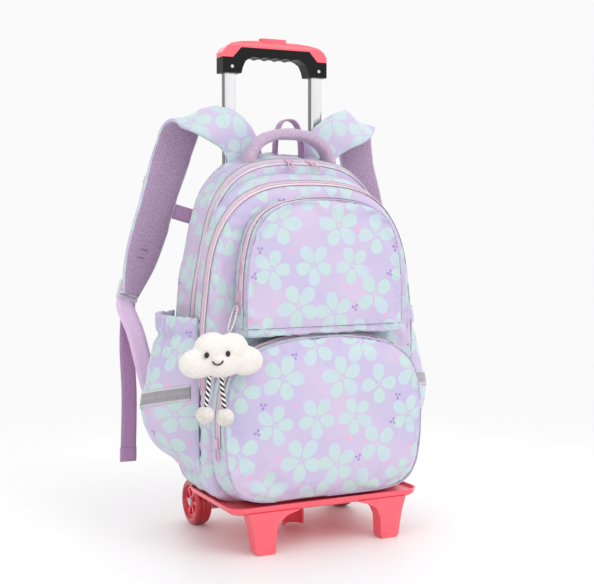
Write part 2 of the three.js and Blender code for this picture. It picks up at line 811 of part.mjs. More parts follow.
// A closed band swept through sections: each has a centre, a direction across and half sizes.
function sweep(sections, profile) {
  const rings = sections.map(({ centre, across, half, thick }, i) => {
    const before = sections[Math.max(i - 1, 0)].centre;
    const after = sections[Math.min(i + 1, sections.length - 1)].centre;
    const along = after.clone().sub(before).normalize();
    const side = across.clone().addScaledVector(along, -across.dot(along)).normalize();
    const face = new THREE.Vector3().crossVectors(side, along);
    return profile.map(([u, v]) =>
      centre.clone().addScaledVector(side, u * half).addScaledVector(face, v * thick),
    );
  });
  return loft(rings);
}
const FLAT = [
  [-1, -1],
  [1, -1],
  [1, 1],
  [-1, 1],
];
const PADDED = [
  [-1, -0.4],
  [-0.76, -1],
  [0.76, -1],
  [1, -0.4],
  [1, 0.4],
  [0.76, 1],
  [-0.76, 1],
  [-1, 0.4],
];
const smooth = (points) => new THREE.CatmullRomCurve3(points, false, "centripetal");

const bagWithRoom = compartments.main.skin(clearance, -clearance);
const panelWithRoom = loft([
  panelRing(panelFront - clearance, backPanelInset - clearance),
  panelRing(panelBack + clearance, backPanelInset - clearance),
]);
const bandSections = (curve, steps, acrossAt, width) =>
  Array.from({ length: steps + 1 }, (_, i) => ({
    centre: curve.getPoint(i / steps),
    across: acrossAt(i / steps),
    half: width / 2,
    thick: webbingThickness / 2,
  }));
// The part of a direction that is square to another, as a unit.
const squareTo = (direction, axis) =>
  direction.clone().addScaledVector(axis, -direction.dot(axis)).normalize();

// The sections of a strap worked out for the left side, its loop hanging further out by its lean.
function strapSections(lean) {
  const places = STRAP_ROWS.map(({ out, back, up }, i) => {
    const hang = lean * Math.sin((Math.PI * i) / (STRAP_ROWS.length - 1));
    const [x, y] = [-out * strapReach - hang, strapSetback + back * strapBackReach];
    return new THREE.Vector3(x, y, strapFootHeight + up * strapRise);
  });
  const curve = smooth(places);
  const across = smooth(STRAP_ROWS.map((row) => new THREE.Vector3(1, row.slantBack, row.slantUp)));
  const wide = smooth(STRAP_ROWS.map((row) => new THREE.Vector3(row.wide, 0, 0)));
  return Array.from({ length: strapSteps + 1 }, (_, i) => ({
    centre: curve.getPoint(i / strapSteps),
    across: across.getPoint(i / strapSteps).normalize(),
    along: curve.getTangent(i / strapSteps),
    half: (wide.getPoint(i / strapSteps).x * strapWidth) / 2,
    thick: strapThickness / 2,
  }));
}

// The adjuster that hangs on a strap's foot: a frame with two slots for the webbing.
function adjusterPlate() {
  const shape = new THREE.Shape();
  shape.moveTo(-lockWidth / 2, 0);
  shape.lineTo(lockWidth / 2, 0);
  shape.lineTo(lockWidth / 2, lockHeight);
  shape.lineTo(-lockWidth / 2, lockHeight);
  for (const at of [0.22, 0.64]) {
    const slot = new THREE.Path();
    const halfSlot = webbingWidth / 2 + clearance;
    slot.moveTo(-halfSlot, lockHeight * at);
    slot.lineTo(-halfSlot, lockHeight * (at + 0.16));
    slot.lineTo(halfSlot, lockHeight * (at + 0.16));
    slot.lineTo(halfSlot, lockHeight * at);
    shape.holes.push(slot);
  }
  return extruded(shape, lockThickness, 1);
}

// A shoulder strap with its adjuster, webbing, loose tail and half of the chest strap.
function addStrap(side, lean) {
  const put = (name, finish, geometry) =>
    add(`${name}_${side}`, finish, side === "left" ? geometry : mirrored(geometry));
  const sections = strapSections(lean);
  put("shoulder_strap", "print", cut(sweep(sections, PADDED), bagWithRoom, panelWithRoom));

  const foot = sections.at(-1);
  const footSide = squareTo(foot.across, foot.along);
  const footFace = new THREE.Vector3().crossVectors(footSide, foot.along).normalize();
  if (footFace.y < 0) footFace.negate();
  const lockTop = foot.centre
    .clone()
    .addScaledVector(foot.along, -lockHeight * 0.7)
    .addScaledVector(footFace, strapThickness / 2 + lockThickness / 2 + 1.5 * clearance);
  const lockOrigin = lockTop.clone().addScaledVector(footFace, -lockThickness / 2);
  const lockSide = new THREE.Vector3().crossVectors(foot.along, footFace);
  put("strap_adjuster", "clear", placed(adjusterPlate(), lockOrigin, lockSide, foot.along, footFace));

  // The webbing runs from the adjuster to the bag's lower corner
  const start = lockTop.clone().addScaledVector(foot.along, lockHeight + clearance);
  const webbingTurn = strapFootHeight - webbingTurnBelowFoot;
  const webbingBend = strapFootHeight - webbingBendBelowFoot;
  const path = smooth([
    start.clone().addScaledVector(foot.along, lockHeight / 4),
    new THREE.Vector3(-bagHalfWidth * 1.24, strapSetback + strapBackReach * 0.94, webbingTurn),
    new THREE.Vector3(-bagHalfWidth * 1.13, strapSetback + strapBackReach * 0.6, webbingBend),
    new THREE.Vector3(-bagHalfWidth * 0.93, panelBack + webbingThickness, bagFloor + 0.115 * mainHeight),
  ]);
  const webbingAcross = (t) => footSide.clone().lerp(new THREE.Vector3(1, 0, 0), t);
  const webbing = bandSections(path, 7, webbingAcross, webbingWidth);
  webbing.unshift({ ...webbing[0], centre: start });
  put("strap_webbing", "webbing", cut(sweep(webbing, FLAT), bagWithRoom, panelWithRoom));

  // The loose tail hangs behind it
  const tailStart = start.clone().add(new THREE.Vector3(4, webbingThickness + 2.9, -1.5));
  const tailPath = smooth([
    tailStart,
    new THREE.Vector3(tailStart.x - 2.5, tailStart.y + 1, tailStart.z - tailTurnBelowStart),
    new THREE.Vector3(tailStart.x - 1, tailStart.y - 2, tailStart.z - tailBendBelowStart),
    new THREE.Vector3(tailStart.x - 4.5, tailStart.y - 6, tailFootHeight),
  ]);
  const tailAcross = (t) => new THREE.Vector3(1, 0.35 - 0.2 * t, 0.12);
  put("strap_tail", "webbing", sweep(bandSections(tailPath, 7, tailAcross, webbingWidth * 0.88), FLAT));

  // The chest strap's short webbing stands on the strap's inner edge and ends in a buckle half
  const host = sections.find(({ centre }, i) => i > strapSteps / 2 && centre.z < chestStrapHeight);
  const hostSide = squareTo(host.across, host.along);
  const root = host.centre.clone().addScaledVector(hostSide, host.half + 1.2);
  const direction = hostSide.clone().multiplyScalar(0.88).add(new THREE.Vector3(0, -0.47, 0)).normalize();
  const across = host.along.clone().negate();
  const chestBand = [0, 0.5, 1].map((t) => ({
    centre: root.clone().addScaledVector(direction, t * chestStrapLength),
    across,
    half: chestStrapWidth / 2,
    thick: webbingThickness / 2,
  }));
  put("chest_strap", "webbing", sweep(chestBand, FLAT));
  const buckle = [0, 1].map((t) => ({
    centre: root.clone().addScaledVector(direction, chestStrapLength + clearance + t * chestBuckleLength),
    across,
    half: chestStrapWidth * (0.56 - 0.1 * t),
    thick: lockThickness / 2,
  }));
  put("chest_buckle", "clear", sweep(buckle, FLAT));
}
addStrap("left", 0);
addStrap("right", strapRightLean);

// The padded carry handle, an arch that stands on the top of the main compartment
function arch(halfSpan, top, floor, centreX, centreY, steps, squareness) {
  return Array.from({ length: steps + 1 }, (_, i) => {
    const turn = Math.PI * (1 - i / steps);
    const x = Math.sign(Math.cos(turn)) * Math.abs(Math.cos(turn)) ** squareness * halfSpan;
    return new THREE.Vector3(centreX + x, centreY, floor + Math.sin(turn) ** squareness * (top - floor));
  });
}
const archSections = (points, depth, thickness) =>
  points.map((centre) => ({
    centre,
    across: new THREE.Vector3(0, 1, 0),
    half: depth / 2,
    thick: thickness / 2,
  }));
const handleFloor = bagFloor + mainHeight * 0.955;
const handleCrown = handleTop - handleThickness / 2;
const handlePath = arch(handleHalfSpan, handleCrown, handleFloor, 0, handleCentre, 11, 0.85);
const handleBand = sweep(archSections(handlePath, handleDepth, handleThickness), PADDED);
add("carry_handle", "heather", cut(handleBand, bagWithRoom));
const loopFloor = bagFloor + mainHeight * 0.985;
const loopPath = arch(loopHalfSpan, loopTop - loopThickness / 2, loopFloor, loopOffset, loopCentre, 10, 0.75);
add("hang_loop", "webbing", cut(sweep(archSections(loopPath, loopDepth, loopThickness), FLAT), bagWithRoom));

// The outline of a rectangle with round corners.
function roundedRectangle(width, depth, radius) {
  const shape = new THREE.Shape();
  const [x, y] = [width / 2 - radius, depth / 2 - radius];
  shape.absarc(x, -y, radius, -Math.PI / 2, 0);
  shape.absarc(x, y, radius, 0, Math.PI / 2);
  shape.absarc(-x, y, radius, Math.PI / 2, Math.PI);
  shape.absarc(-x, -y, radius, Math.PI, 1.5 * Math.PI);
  return shape;
}

// Trolley tubes: each stage is a rounded box tube that slides in the next, standing on the tray's rear beam
function tube(width, depth, floor, top) {
  const wallShape = roundedRectangle(width, depth, tubeCornerRadius);
  const hollow = roundedRectangle(width - 2 * tubeWall, depth - 2 * tubeWall, tubeCornerRadius - tubeWall);
  wallShape.holes.push(hollow);
  return extruded(wallShape, top - floor, 1).translate(-tubeSpacing / 2, tubeCentre, floor);
}
const innerTubeTop = gripFloor + socketDepth - clearance;
addPair("inner_tube", "aluminium", tube(innerTubeWidth, innerTubeDepth, innerTubeFloor, innerTubeTop));
const [middleTubeWidth, middleTubeDepth] = [innerTubeWidth + tubeStep, innerTubeDepth + tubeStep];
addPair("middle_tube", "aluminium", tube(middleTubeWidth, middleTubeDepth, middleTubeFloor, middleTubeTop));
const [outerTubeWidth, outerTubeDepth] = [middleTubeWidth + tubeStep, middleTubeDepth + tubeStep];
addPair("outer_tube", "aluminium", tube(outerTubeWidth, outerTubeDepth, bagFloor, outerTubeTop));

// An outline in the plane of the front, extruded to the back about a middle depth.
function frontExtrude(shape, centreY, depth) {
  return extruded(shape, depth, 4).rotateX(Math.PI / 2).translate(0, centreY + depth / 2, 0);
}
const mirrorLine = (line) => line.map(([x, z]) => [-x, z]).reverse();
const shapeOf = (line) => new THREE.Shape(line.map(([x, z]) => new THREE.Vector2(x, z)));

// A bar along X whose upper edges are round, to shape what it meets.
function roundedBar(depth, radius, top, floor) {
  const section = new THREE.Shape();
  section.moveTo(-depth / 2, floor);
  section.lineTo(depth / 2, floor);
  section.absarc(depth / 2 - radius, top - radius, radius, 0, Math.PI / 2);
  section.absarc(-depth / 2 + radius, top - radius, radius, Math.PI / 2, Math.PI);
  section.closePath();
  const bar = extruded(section, 4 * gripHalfWidth, 4);
  const along = [new THREE.Vector3(0, 1, 0), new THREE.Vector3(0, 0, 1), new THREE.Vector3(1, 0, 0)];
  return placed(bar, new THREE.Vector3(-2 * gripHalfWidth, tubeCentre, 0), ...along);
}

// The grip: a black core that holds the tubes, and a coral cover over it. Both share the line of their joint.
const jointLine = [
  [gripHalfWidth, gripFloor + blockHeight],
  [gripHalfWidth - 14, gripFloor + blockHeight],
  [gripHalfWidth - 26, coverFloorAtMiddle],
];
const coverLine = [
  ...jointLine.slice().reverse(),
  [gripHalfWidth, gripFloor + blockHeight + 6],
  [gripHalfWidth - 4, gripTop - 12],
  [gripHalfWidth - 12, gripTop - 6],
  [gripHalfWidth - 26, gripTop - 3],
  [gripHalfWidth * 0.3, gripTop],
];
const coverOutline = shapeOf([...coverLine, ...mirrorLine(coverLine)]);
const buttonWell = new THREE.BoxGeometry(
  buttonLength + 2 * clearance,
  buttonWidth + 2 * clearance,
  buttonHeight + buttonTravel + clearance,
).translate(0, tubeCentre, buttonTop - (buttonHeight + buttonTravel - clearance) / 2);
const coverBlock = meet(
  frontExtrude(coverOutline, tubeCentre, gripDepth),
  roundedBar(gripDepth, gripEdgeRadius, gripTop, gripFloor),
);
add("grip_cover", "coral", cut(coverBlock, buttonWell));
const buttonOutline = roundedRectangle(buttonLength, buttonWidth, 5);
const button = extruded(buttonOutline, buttonHeight, 3);
add("release_button", "coral", button.translate(0, tubeCentre, buttonTop - buttonHeight));

const grooveReach = gripHalfWidth - blockWidth - 12;
const groovePoints = Array.from({ length: fingerGrooves * 3 + 1 }, (_, i) => {
  const share = i / (fingerGrooves * 3);
  const rise = grooveRise * Math.abs(Math.sin(Math.PI * fingerGrooves * share));
  return [grooveReach - 2 * grooveReach * share, barFloor + rise];
});
const underside = [
  [gripHalfWidth, gripFloor],
  [gripHalfWidth - blockWidth, gripFloor],
  [gripHalfWidth - blockWidth - 2.5, gripFloor + 9],
  [gripHalfWidth - blockWidth - 6, gripFloor + 16],
];
const jointBelow = jointLine.map(([x, z]) => [x, z - clearance]);
const coreOutline = shapeOf([
  ...mirrorLine(jointBelow).reverse(),
  ...jointBelow.slice().reverse(),
  ...underside,
  ...groovePoints,
  ...mirrorLine(underside),
]);
const [socketWidth, socketThickness] = [innerTubeWidth + 2 * clearance, innerTubeDepth + 2 * clearance];
const socket = roundedRectangle(socketWidth, socketThickness, tubeCornerRadius + clearance);
const sockets = [-1, 1].map((side) => {
  return extruded(socket, socketDepth + 5, 3).translate((side * tubeSpacing) / 2, tubeCentre, gripFloor - 5);
});
add("grip_core", "black", cut(frontExtrude(coreOutline, tubeCentre, gripDepth), ...sockets));
const screw = new THREE.CylinderGeometry(screwRadius * 0.8, screwRadius, 1, 8);
screw.translate(-tubeSpacing / 2, tubeCentre - gripDepth / 2 - 0.5 - clearance, screwHeight);
addPair("grip_screw", "steel", screw);

// The tray: a shallow dish under the bag, with two feet in front and a beam with wheel cheeks behind
const trayMiddle = (trayFront + trayBack) / 2;
function trayRing(z, inset) {
  const width = 2 * (trayHalfWidth - inset);
  const depth = trayBack - trayFront - 2 * inset;
  const points = roundedRectangle(width, depth, trayCornerRadius - inset).getPoints(3);
  return points.slice(0, -1).map((p) => new THREE.Vector3(p.x, trayMiddle + p.y, z));
}
const dish = loft([
  trayRing(trayUnderside, 6),
  trayRing(trayUnderside + 3, 2),
  trayRing(trayRimTop, 0),
  trayRing(trayRimTop, trayRimWall),
  trayRing(trayFloor, trayRimWall + 2),
]);
const footInside = footOutside - footWidth;
const footLine = [
  [footOutside + footFlare, trayUnderside + 1.5],
  [footOutside + footFlare * 0.45, trayUnderside * 0.63],
  [footOutside, 3],
  [footOutside - 3, 0],
  [footInside + 2.5, 0],
  [footInside, 2.5],
  [footInside - 1.5, trayUnderside - archRise],
  [footInside - 6.5, trayUnderside - archRise / 2],
  [footInside - 17, trayUnderside - archRise * 0.18],
  [footInside - 32, trayUnderside],
  [footInside - 32, trayUnderside + 1.5],
];
const leg = frontExtrude(shapeOf(footLine), trayFront + 2 + footDepth / 2, footDepth);
const beamFront = trayBack - 20;
const beamFloor = trayUnderside - 6;
const beam = new THREE.BoxGeometry(2 * beamHalfWidth, beamBack - beamFront, trayFloor - beamFloor);
beam.translate(0, (beamBack + beamFront) / 2, (trayFloor + beamFloor) / 2);
const cheek = new THREE.Shape();
cheek.moveTo(cheekRadius, trayUnderside - 2);
cheek.lineTo(-cheekRadius - 16, trayUnderside - 2);
cheek.absarc(0, wheelRadius, cheekRadius, Math.PI * 1.1, 2 * Math.PI);
cheek.closePath();
const cheekPlate = extruded(cheek, cheekWidth, 8);
const cheekBasis = [new THREE.Vector3(0, 1, 0), new THREE.Vector3(0, 0, 1), new THREE.Vector3(1, 0, 0)];
const cheeks = [-beamHalfWidth, beamHalfWidth - cheekWidth].map((x) =>
  placed(cheekPlate, new THREE.Vector3(x, wheelBehindFront, 0), ...cheekBasis),
);

// A cylinder along X between two places on the wheels' axis.
function alongAxle(radius, from, to, sides) {
  const rod = new THREE.CylinderGeometry(radius, radius, to - from, sides).rotateZ(Math.PI / 2);
  return rod.translate((from + to) / 2, wheelBehindFront, wheelRadius);
}
const axleBore = alongAxle(axleRadius + clearance, -beamHalfWidth - 1, beamHalfWidth + 1, axleSides);
const wheelWells = [-1, 1].map((side) => {
  const [from, to] = [wheelSpacing / 2 - wheelWidth / 2 - wheelGap, trayHalfWidth + 1];
  return alongAxle(wheelRadius + wheelGap, ...(side < 0 ? [-to, -from] : [from, to]), 20);
});
add("base_tray", "coral", cut(join(dish, leg, mirrored(leg), beam, ...cheeks), axleBore, ...wheelWells));

// The stay under the middle of the tray, a half tube open to the front
const stayShape = new THREE.Shape();
stayShape.absarc(0, 0, stayRadius, 0, Math.PI);
stayShape.absarc(0, 0, stayRadius - stayWall, Math.PI, 0, true);
stayShape.closePath();
const stayHeight = trayUnderside - clearance - stayClearOfGround;
const stay = extruded(stayShape, stayHeight, 5);
add("centre_stay", "coral", stay.translate(0, stayBehindFront, stayClearOfGround));

// The small black clip under the tray's left edge
const clip = new THREE.BoxGeometry(clipWidth, clipLength, clipThickness);
const clipX = -(trayHalfWidth - 6) + clipWidth;
add("tray_clip", "black", clip.translate(clipX, trayBack / 2, trayUnderside - clearance - clipThickness / 2));

// A solid of revolution about the wheels' axis from pairs of distance along it and radius.
function turned(profile, x, segments) {
  const line = [profile[0], ...profile.slice().reverse()];
  const points = line.map(([along, radius]) => new THREE.Vector2(radius, along));
  const solid = new THREE.LatheGeometry(points, segments).rotateZ(Math.PI / 2);
  return solid.translate(x, wheelBehindFront, wheelRadius);
}
const tyreInside = wheelRadius - tyreThickness;
const tyreHalf = wheelWidth / 2;
const tyreProfile = [
  [-tyreHalf * 0.8, tyreInside],
  [tyreHalf * 0.8, tyreInside],
  [tyreHalf, tyreInside + tyreThickness * 0.5],
  [tyreHalf * 0.6, wheelRadius],
  [-tyreHalf * 0.6, wheelRadius],
  [-tyreHalf, tyreInside + tyreThickness * 0.5],
];
const wheelX = -wheelSpacing / 2;
addPair("tyre", "tyre", turned(tyreProfile, wheelX, 24));

// The hub: a rim, a boss and spokes between them
const rimOutside = tyreInside - clearance;
const rimInside = rimOutside - 3;
const bossRadius = axleRadius + 4;
const quarters = [0, 1, 2, 3].map((k) => (k * Math.PI) / 2);
const hubShape = new THREE.Shape();
quarters.forEach((from) => hubShape.absarc(0, 0, rimOutside, from, from + Math.PI / 2));
const boreShape = new THREE.Path();
quarters.forEach((from) => boreShape.absarc(0, 0, axleRadius + clearance, from, from + Math.PI / 2));
hubShape.holes.push(boreShape);
for (let spoke = 0; spoke < hubSpokes; spoke++) {
  const turn = (2 * Math.PI) / hubSpokes;
  const [from, to] = [spoke * turn + turn * 0.16, (spoke + 1) * turn - turn * 0.16];
  const gap = new THREE.Path();
  gap.absarc(0, 0, rimInside, from, to);
  gap.absarc(0, 0, bossRadius, to - turn * 0.04, from + turn * 0.04, true);
  gap.closePath();
  hubShape.holes.push(gap);
}
const hub = extruded(hubShape, wheelWidth * 0.72, 2);
hub.translate(0, 0, -wheelWidth * 0.36);
const hubOrigin = new THREE.Vector3(wheelX, wheelBehindFront, wheelRadius);
addPair("wheel_hub", "coral", placed(hub, hubOrigin, ...cheekBasis));
const capFrom = wheelX - wheelWidth * 0.36 - clearance;
const pin = alongAxle(axleRadius, capFrom, -(beamHalfWidth - cheekWidth), axleSides);
const cap = alongAxle(axleCapRadius, capFrom - axleCapThickness, capFrom, axleSides);
addPair("axle", "steel", join(pin, cap));

// The cloud charm: fused lobes
const cloudCentre = new THREE.Vector3(...cloudMiddle);
const lobes = CLOUD_LOBES.map(({ out, up, wide, tall, deep }) =>
  new THREE.SphereGeometry(1, 10, 6)
    .rotateX(Math.PI / 2)
    .scale((wide * cloudWidth) / 2, (deep * cloudDepth) / 2, (tall * cloudHeight) / 2)
    .translate((out * cloudWidth) / 2, 0, (up * cloudHeight) / 2)
    .translate(cloudCentre.x, cloudCentre.y, cloudCentre.z),
);
const cloud = join(...lobes);

// Each charm leg is a cord from the cloud to a pompom
const legSides = 8;
for (const [name, route] of Object.entries(CHARM_LEG_ROUTES)) {
  const path = smooth(route.map((p) => new THREE.Vector3(...p).add(cloudCentre)));
  const section = new THREE.Shape();
  section.absarc(0, 0, charmLegDiameter / 2, 0, 2 * Math.PI);
  const along = { steps: 4, extrudePath: path, curveSegments: legSides / 2 };
  const cord = new THREE.ExtrudeGeometry(section, along);
  add(name, "cord", cut(cord, ...lobes.map((lobe) => lobe.clone().translate(0, 0, -clearance))));

  const end = path.getPoint(1);
  const centre = end.clone().addScaledVector(path.getTangent(1), pompomRadius + clearance);
  add(name.replace("charm_leg", "pompom"), "plush", pompom(centre));
}

// A pompom: a head whose every face is raised to a short lock.
function pompom(centre) {
  const head = onlyPositions(new THREE.IcosahedronGeometry(pompomRadius - pompomLockHeight, 1));
  const position = head.getAttribute("position");
  const points = Array.from({ length: position.count }, (_, i) =>
    new THREE.Vector3().fromBufferAttribute(position, i).add(centre),
  );
  const faces = [];
  const index = head.index.array;
  for (let i = 0; i < index.length; i += 3) {
    const [a, b, c] = [index[i], index[i + 1], index[i + 2]];
    const middle = points[a].clone().add(points[b]).add(points[c]).divideScalar(3);
    points.push(middle.sub(centre).setLength(pompomRadius).add(centre));
    const tip = points.length - 1;
    faces.push([a, b, tip], [b, c, tip], [c, a, tip]);
  }
  return closedGeometry(points, faces);
}
add("charm_cloud", "plush", cloud);

// The ball chain from the upper pocket's slider to the cloud: beads fused to their links round a long loop
const chainTop = new THREE.Vector3(...chainTopPlace);
const chainFoot = cloudCentre.clone().add(new THREE.Vector3(11, 2, cloudHeight / 2 - 1));
const chainSide = new THREE.Vector3(0.8, 0, 0.6).normalize();
const chainPoints = CHAIN_LOOP.map(({ t, s }) =>
  chainTop.clone().lerp(chainFoot, t).addScaledVector(chainSide, (s * chainWidth) / 2),
);
const chainCurve = new THREE.CatmullRomCurve3(chainPoints, true);
const beadCount = Math.round(chainCurve.getLength() / beadPitch);
const BEAD_ROWS = [
  { at: 0, radius: beadLinkRadius },
  { at: 0.32, radius: beadRadius },
  { at: 0.68, radius: beadRadius },
];
const chainNormal = chainFoot.clone().sub(chainTop).cross(chainSide).normalize();
const chainRings = Array.from({ length: beadCount }, (_, bead) => bead).flatMap((bead) =>
  BEAD_ROWS.map(({ at, radius }) => {
    const place = (bead + at) / beadCount;
    const centre = chainCurve.getPointAt(place);
    const side = new THREE.Vector3().crossVectors(chainCurve.getTangentAt(place), chainNormal).normalize();
    return Array.from({ length: beadSides }, (_, k) => {
      const turn = (2 * Math.PI * k) / beadSides;
      const outward = side.clone().multiplyScalar(Math.cos(turn));
      outward.addScaledVector(chainNormal, Math.sin(turn));
      return centre.clone().addScaledVector(outward, radius);
    });
  }),
);
add("charm_chain", "steel", closedLoop(chainRings));

// The origin is the middle of the bounding box, on the ground
const box = new THREE.Box3().setFromObject(bag, true);
bag.position.set(-(box.min.x + box.max.x) / 2, -(box.min.y + box.max.y) / 2, -box.min.z);
const wheeledBackpack = new THREE.Group();
wheeledBackpack.add(bag);

export default wheeledBackpack;
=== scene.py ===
import math

import bpy
import numpy as np
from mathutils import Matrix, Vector, noise


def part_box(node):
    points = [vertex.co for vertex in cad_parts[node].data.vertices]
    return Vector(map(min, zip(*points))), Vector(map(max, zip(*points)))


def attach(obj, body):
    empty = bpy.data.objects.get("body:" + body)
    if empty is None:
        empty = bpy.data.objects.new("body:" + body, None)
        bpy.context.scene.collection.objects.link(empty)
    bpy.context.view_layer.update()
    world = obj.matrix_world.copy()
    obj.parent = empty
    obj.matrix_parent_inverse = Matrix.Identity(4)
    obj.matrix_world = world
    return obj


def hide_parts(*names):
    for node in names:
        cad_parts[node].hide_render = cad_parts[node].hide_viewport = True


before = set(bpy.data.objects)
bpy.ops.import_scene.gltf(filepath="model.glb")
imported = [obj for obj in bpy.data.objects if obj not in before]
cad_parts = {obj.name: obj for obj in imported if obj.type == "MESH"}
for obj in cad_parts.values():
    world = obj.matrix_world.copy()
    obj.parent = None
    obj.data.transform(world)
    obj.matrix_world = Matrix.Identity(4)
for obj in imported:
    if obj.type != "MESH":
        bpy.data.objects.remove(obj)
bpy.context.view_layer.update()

# Sizes are in millimetres in the CAD source's working frame: Y = 0 is the front of the pockets and Z = 0 the
# ground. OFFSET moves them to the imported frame, by where the back panel's front is in both.
PANEL_FRONT, PANEL_THICKNESS = 148.3, 5.2
BAG_HALF, BAG_HEIGHT, BAG_FLOOR = 145, 431, 56.5
panel_low, panel_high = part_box("back_panel")
OFFSET = np.array([(panel_low.x + panel_high.x) / 2 * 1000, panel_low.y * 1000 - PANEL_FRONT, 0.0])
UP = np.array([0.0, 0.0, 1.0])


# Camera and lights. The camera's place is in mm, its tilt and turn in degrees. The lights are in metres and
# aim at a height above the middle of the floor.
CAMERA_LENS, CAMERA_PLACE, CAMERA_TILT, CAMERA_TURN = 69.15, (-648.6, -1223.9, 404.4), 3.73, 26.28
LIGHTS = {
    "key": {"location": (0.7, -1.7, 1.9), "aim": 0.3, "size": 1.6, "power": 17},
    "fill": {"location": (-1.9, -0.9, 0.9), "aim": 0.3, "size": 1.8, "power": 8},
    "back": {"location": (0.3, 1.7, 1.6), "aim": 0.4, "size": 1.6, "power": 9},
}


def place(x, y, z):
    """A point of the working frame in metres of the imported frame."""
    return Vector(((x + OFFSET[0]) / 1000, (y + OFFSET[1]) / 1000, z / 1000))


camera_data = bpy.data.cameras.new("camera")
camera_data.lens = CAMERA_LENS
camera_data.sensor_width = 36
camera_data.clip_end = 50
camera = bpy.data.objects.new("camera", camera_data)
camera.location = place(*CAMERA_PLACE)
camera.rotation_euler = (math.radians(90 - CAMERA_TILT), 0, math.radians(-CAMERA_TURN))
bpy.context.scene.collection.objects.link(camera)
bpy.context.scene.camera = camera


def area_light(name, location, aim, size, power):
    data = bpy.data.lights.new(name, "AREA")
    data.shape = "SQUARE"
    data.size = size
    data.energy = power
    light = bpy.data.objects.new(name, data)
    light.location = location
    light.rotation_euler = (Vector((0, 0, aim)) - Vector(location)).to_track_quat("-Z", "Y").to_euler()
    bpy.context.scene.collection.objects.link(light)


for name, given in LIGHTS.items():
    area_light(name, **given)
world = bpy.data.worlds.new("studio")
world.use_nodes = True
bpy.context.scene.world = world
bpy.context.scene.view_settings.view_transform = "Standard"


# Shader building

class Node:
    """A shader socket or number that can be reckoned with."""

    tree = None

    def __init__(self, socket):
        self.socket = socket

    @staticmethod
    def maths(operation, *values):
        node = Node.tree.nodes.new("ShaderNodeMath")
        node.operation = operation
        for i, value in enumerate(values):
            Node.feed(node.inputs[i], value)
        return Node(node.outputs[0])

    @staticmethod
    def feed(slot, value):
        if isinstance(value, Node):
            Node.tree.links.new(value.socket, slot)
        else:
            slot.default_value = value

    def __add__(self, other):
        return Node.maths("ADD", self, other)

    def __sub__(self, other):
        return Node.maths("SUBTRACT", self, other)

    def __rsub__(self, other):
        return Node.maths("SUBTRACT", other, self)

    def __mul__(self, other):
        return Node.maths("MULTIPLY", self, other)

    def __truediv__(self, other):
        return Node.maths("DIVIDE", self, other)

    def max(self, other):
        return Node.maths("MAXIMUM", self, other)


def smoothstep(value, low, high):
    """0 below low and 1 above high, or the other way round where low is above high."""
    node = Node.tree.nodes.new("ShaderNodeMapRange")
    node.interpolation_type = "SMOOTHSTEP"
    flip = low > high
    Node.feed(node.inputs["Value"], value)
    node.inputs["From Min"].default_value = min(low, high)
    node.inputs["From Max"].default_value = max(low, high)
    node.inputs["To Min"].default_value = 1.0 if flip else 0.0
    node.inputs["To Max"].default_value = 0.0 if flip else 1.0
    return Node(node.outputs["Result"])


def linear(colour):
    """An sRGB colour of 0 to 255 as linear RGBA."""
    def channel(c):
        c = c / 255
        return c / 12.92 if c <= 0.04045 else ((c + 0.055) / 1.055) ** 2.4
    return tuple(channel(c) for c in colour) + (1.0,)


def mix(factor, a, b):
    """Mixes two colours. Inputs 6 and 7 and output 2 are the colour ones of a mix node."""
    node = Node.tree.nodes.new("ShaderNodeMix")
    node.data_type = "RGBA"
    Node.feed(node.inputs[0], factor)
    for slot, value in ((node.inputs[6], a), (node.inputs[7], b)):
        Node.feed(slot, value if isinstance(value, Node) else linear(value))
    return Node(node.outputs[2])


def cloth_coordinates():
    node = Node.tree.nodes.new("ShaderNodeAttribute")
    node.attribute_name = "cloth"
    return Node(node.outputs["Vector"])


def object_coordinates():
    return Node(Node.tree.nodes.new("ShaderNodeTexCoord").outputs["Object"])


def parts_of(vector):
    node = Node.tree.nodes.new("ShaderNodeSeparateXYZ")
    Node.feed(node.inputs[0], vector)
    return [Node(node.outputs[i]) for i in range(3)]


def noise_texture(vector, scale, detail=2.0, rough=0.5):
    node = Node.tree.nodes.new("ShaderNodeTexNoise")
    Node.feed(node.inputs["Vector"], vector)
    node.inputs["Scale"].default_value = scale
    node.inputs["Detail"].default_value = detail
    node.inputs["Roughness"].default_value = rough
    return Node(node.outputs["Fac"])


def stripes(value, period):
    """A sine wave from 0 to 1 with that period."""
    return Node.maths("SINE", value * (2 * math.pi / period)) * 0.5 + 0.5


def bump_node(height, strength, distance):
    bump = Node.tree.nodes.new("ShaderNodeBump")
    bump.inputs["Strength"].default_value = strength
    bump.inputs["Distance"].default_value = distance
    Node.feed(bump.inputs["Height"], height)
    return bump


CREASE_STRENGTH, CREASE_DISTANCE = 0.5, 0.004


def finish_material(colour, height, strength, distance=0.0005, broad=None, **settings):
    """Ends the material being built: its colour, fine bump, broad creases and constants on the shader."""
    shader = Node.tree.nodes["Principled BSDF"]
    Node.feed(shader.inputs["Base Color"], colour if isinstance(colour, Node) else linear(colour))
    for key, value in settings.items():
        shader.inputs[key.replace("_", " ")].default_value = value
    bump = bump_node(height, strength, distance)
    Node.tree.links.new(bump.outputs[0], shader.inputs["Normal"])
    if broad is not None:
        crease = bump_node(broad, CREASE_STRENGTH, CREASE_DISTANCE)
        Node.tree.links.new(crease.outputs[0], bump.inputs["Normal"])


def material(name):
    made = bpy.data.materials.new(name)
    made.use_nodes = True
    Node.tree = made.node_tree
    return made


BACKDROP = 0.955
LEAST_LIGHT, LIGHT_FROM_RIGHT, LIGHT_FROM_ABOVE = 0.72, 0.36, 0.12


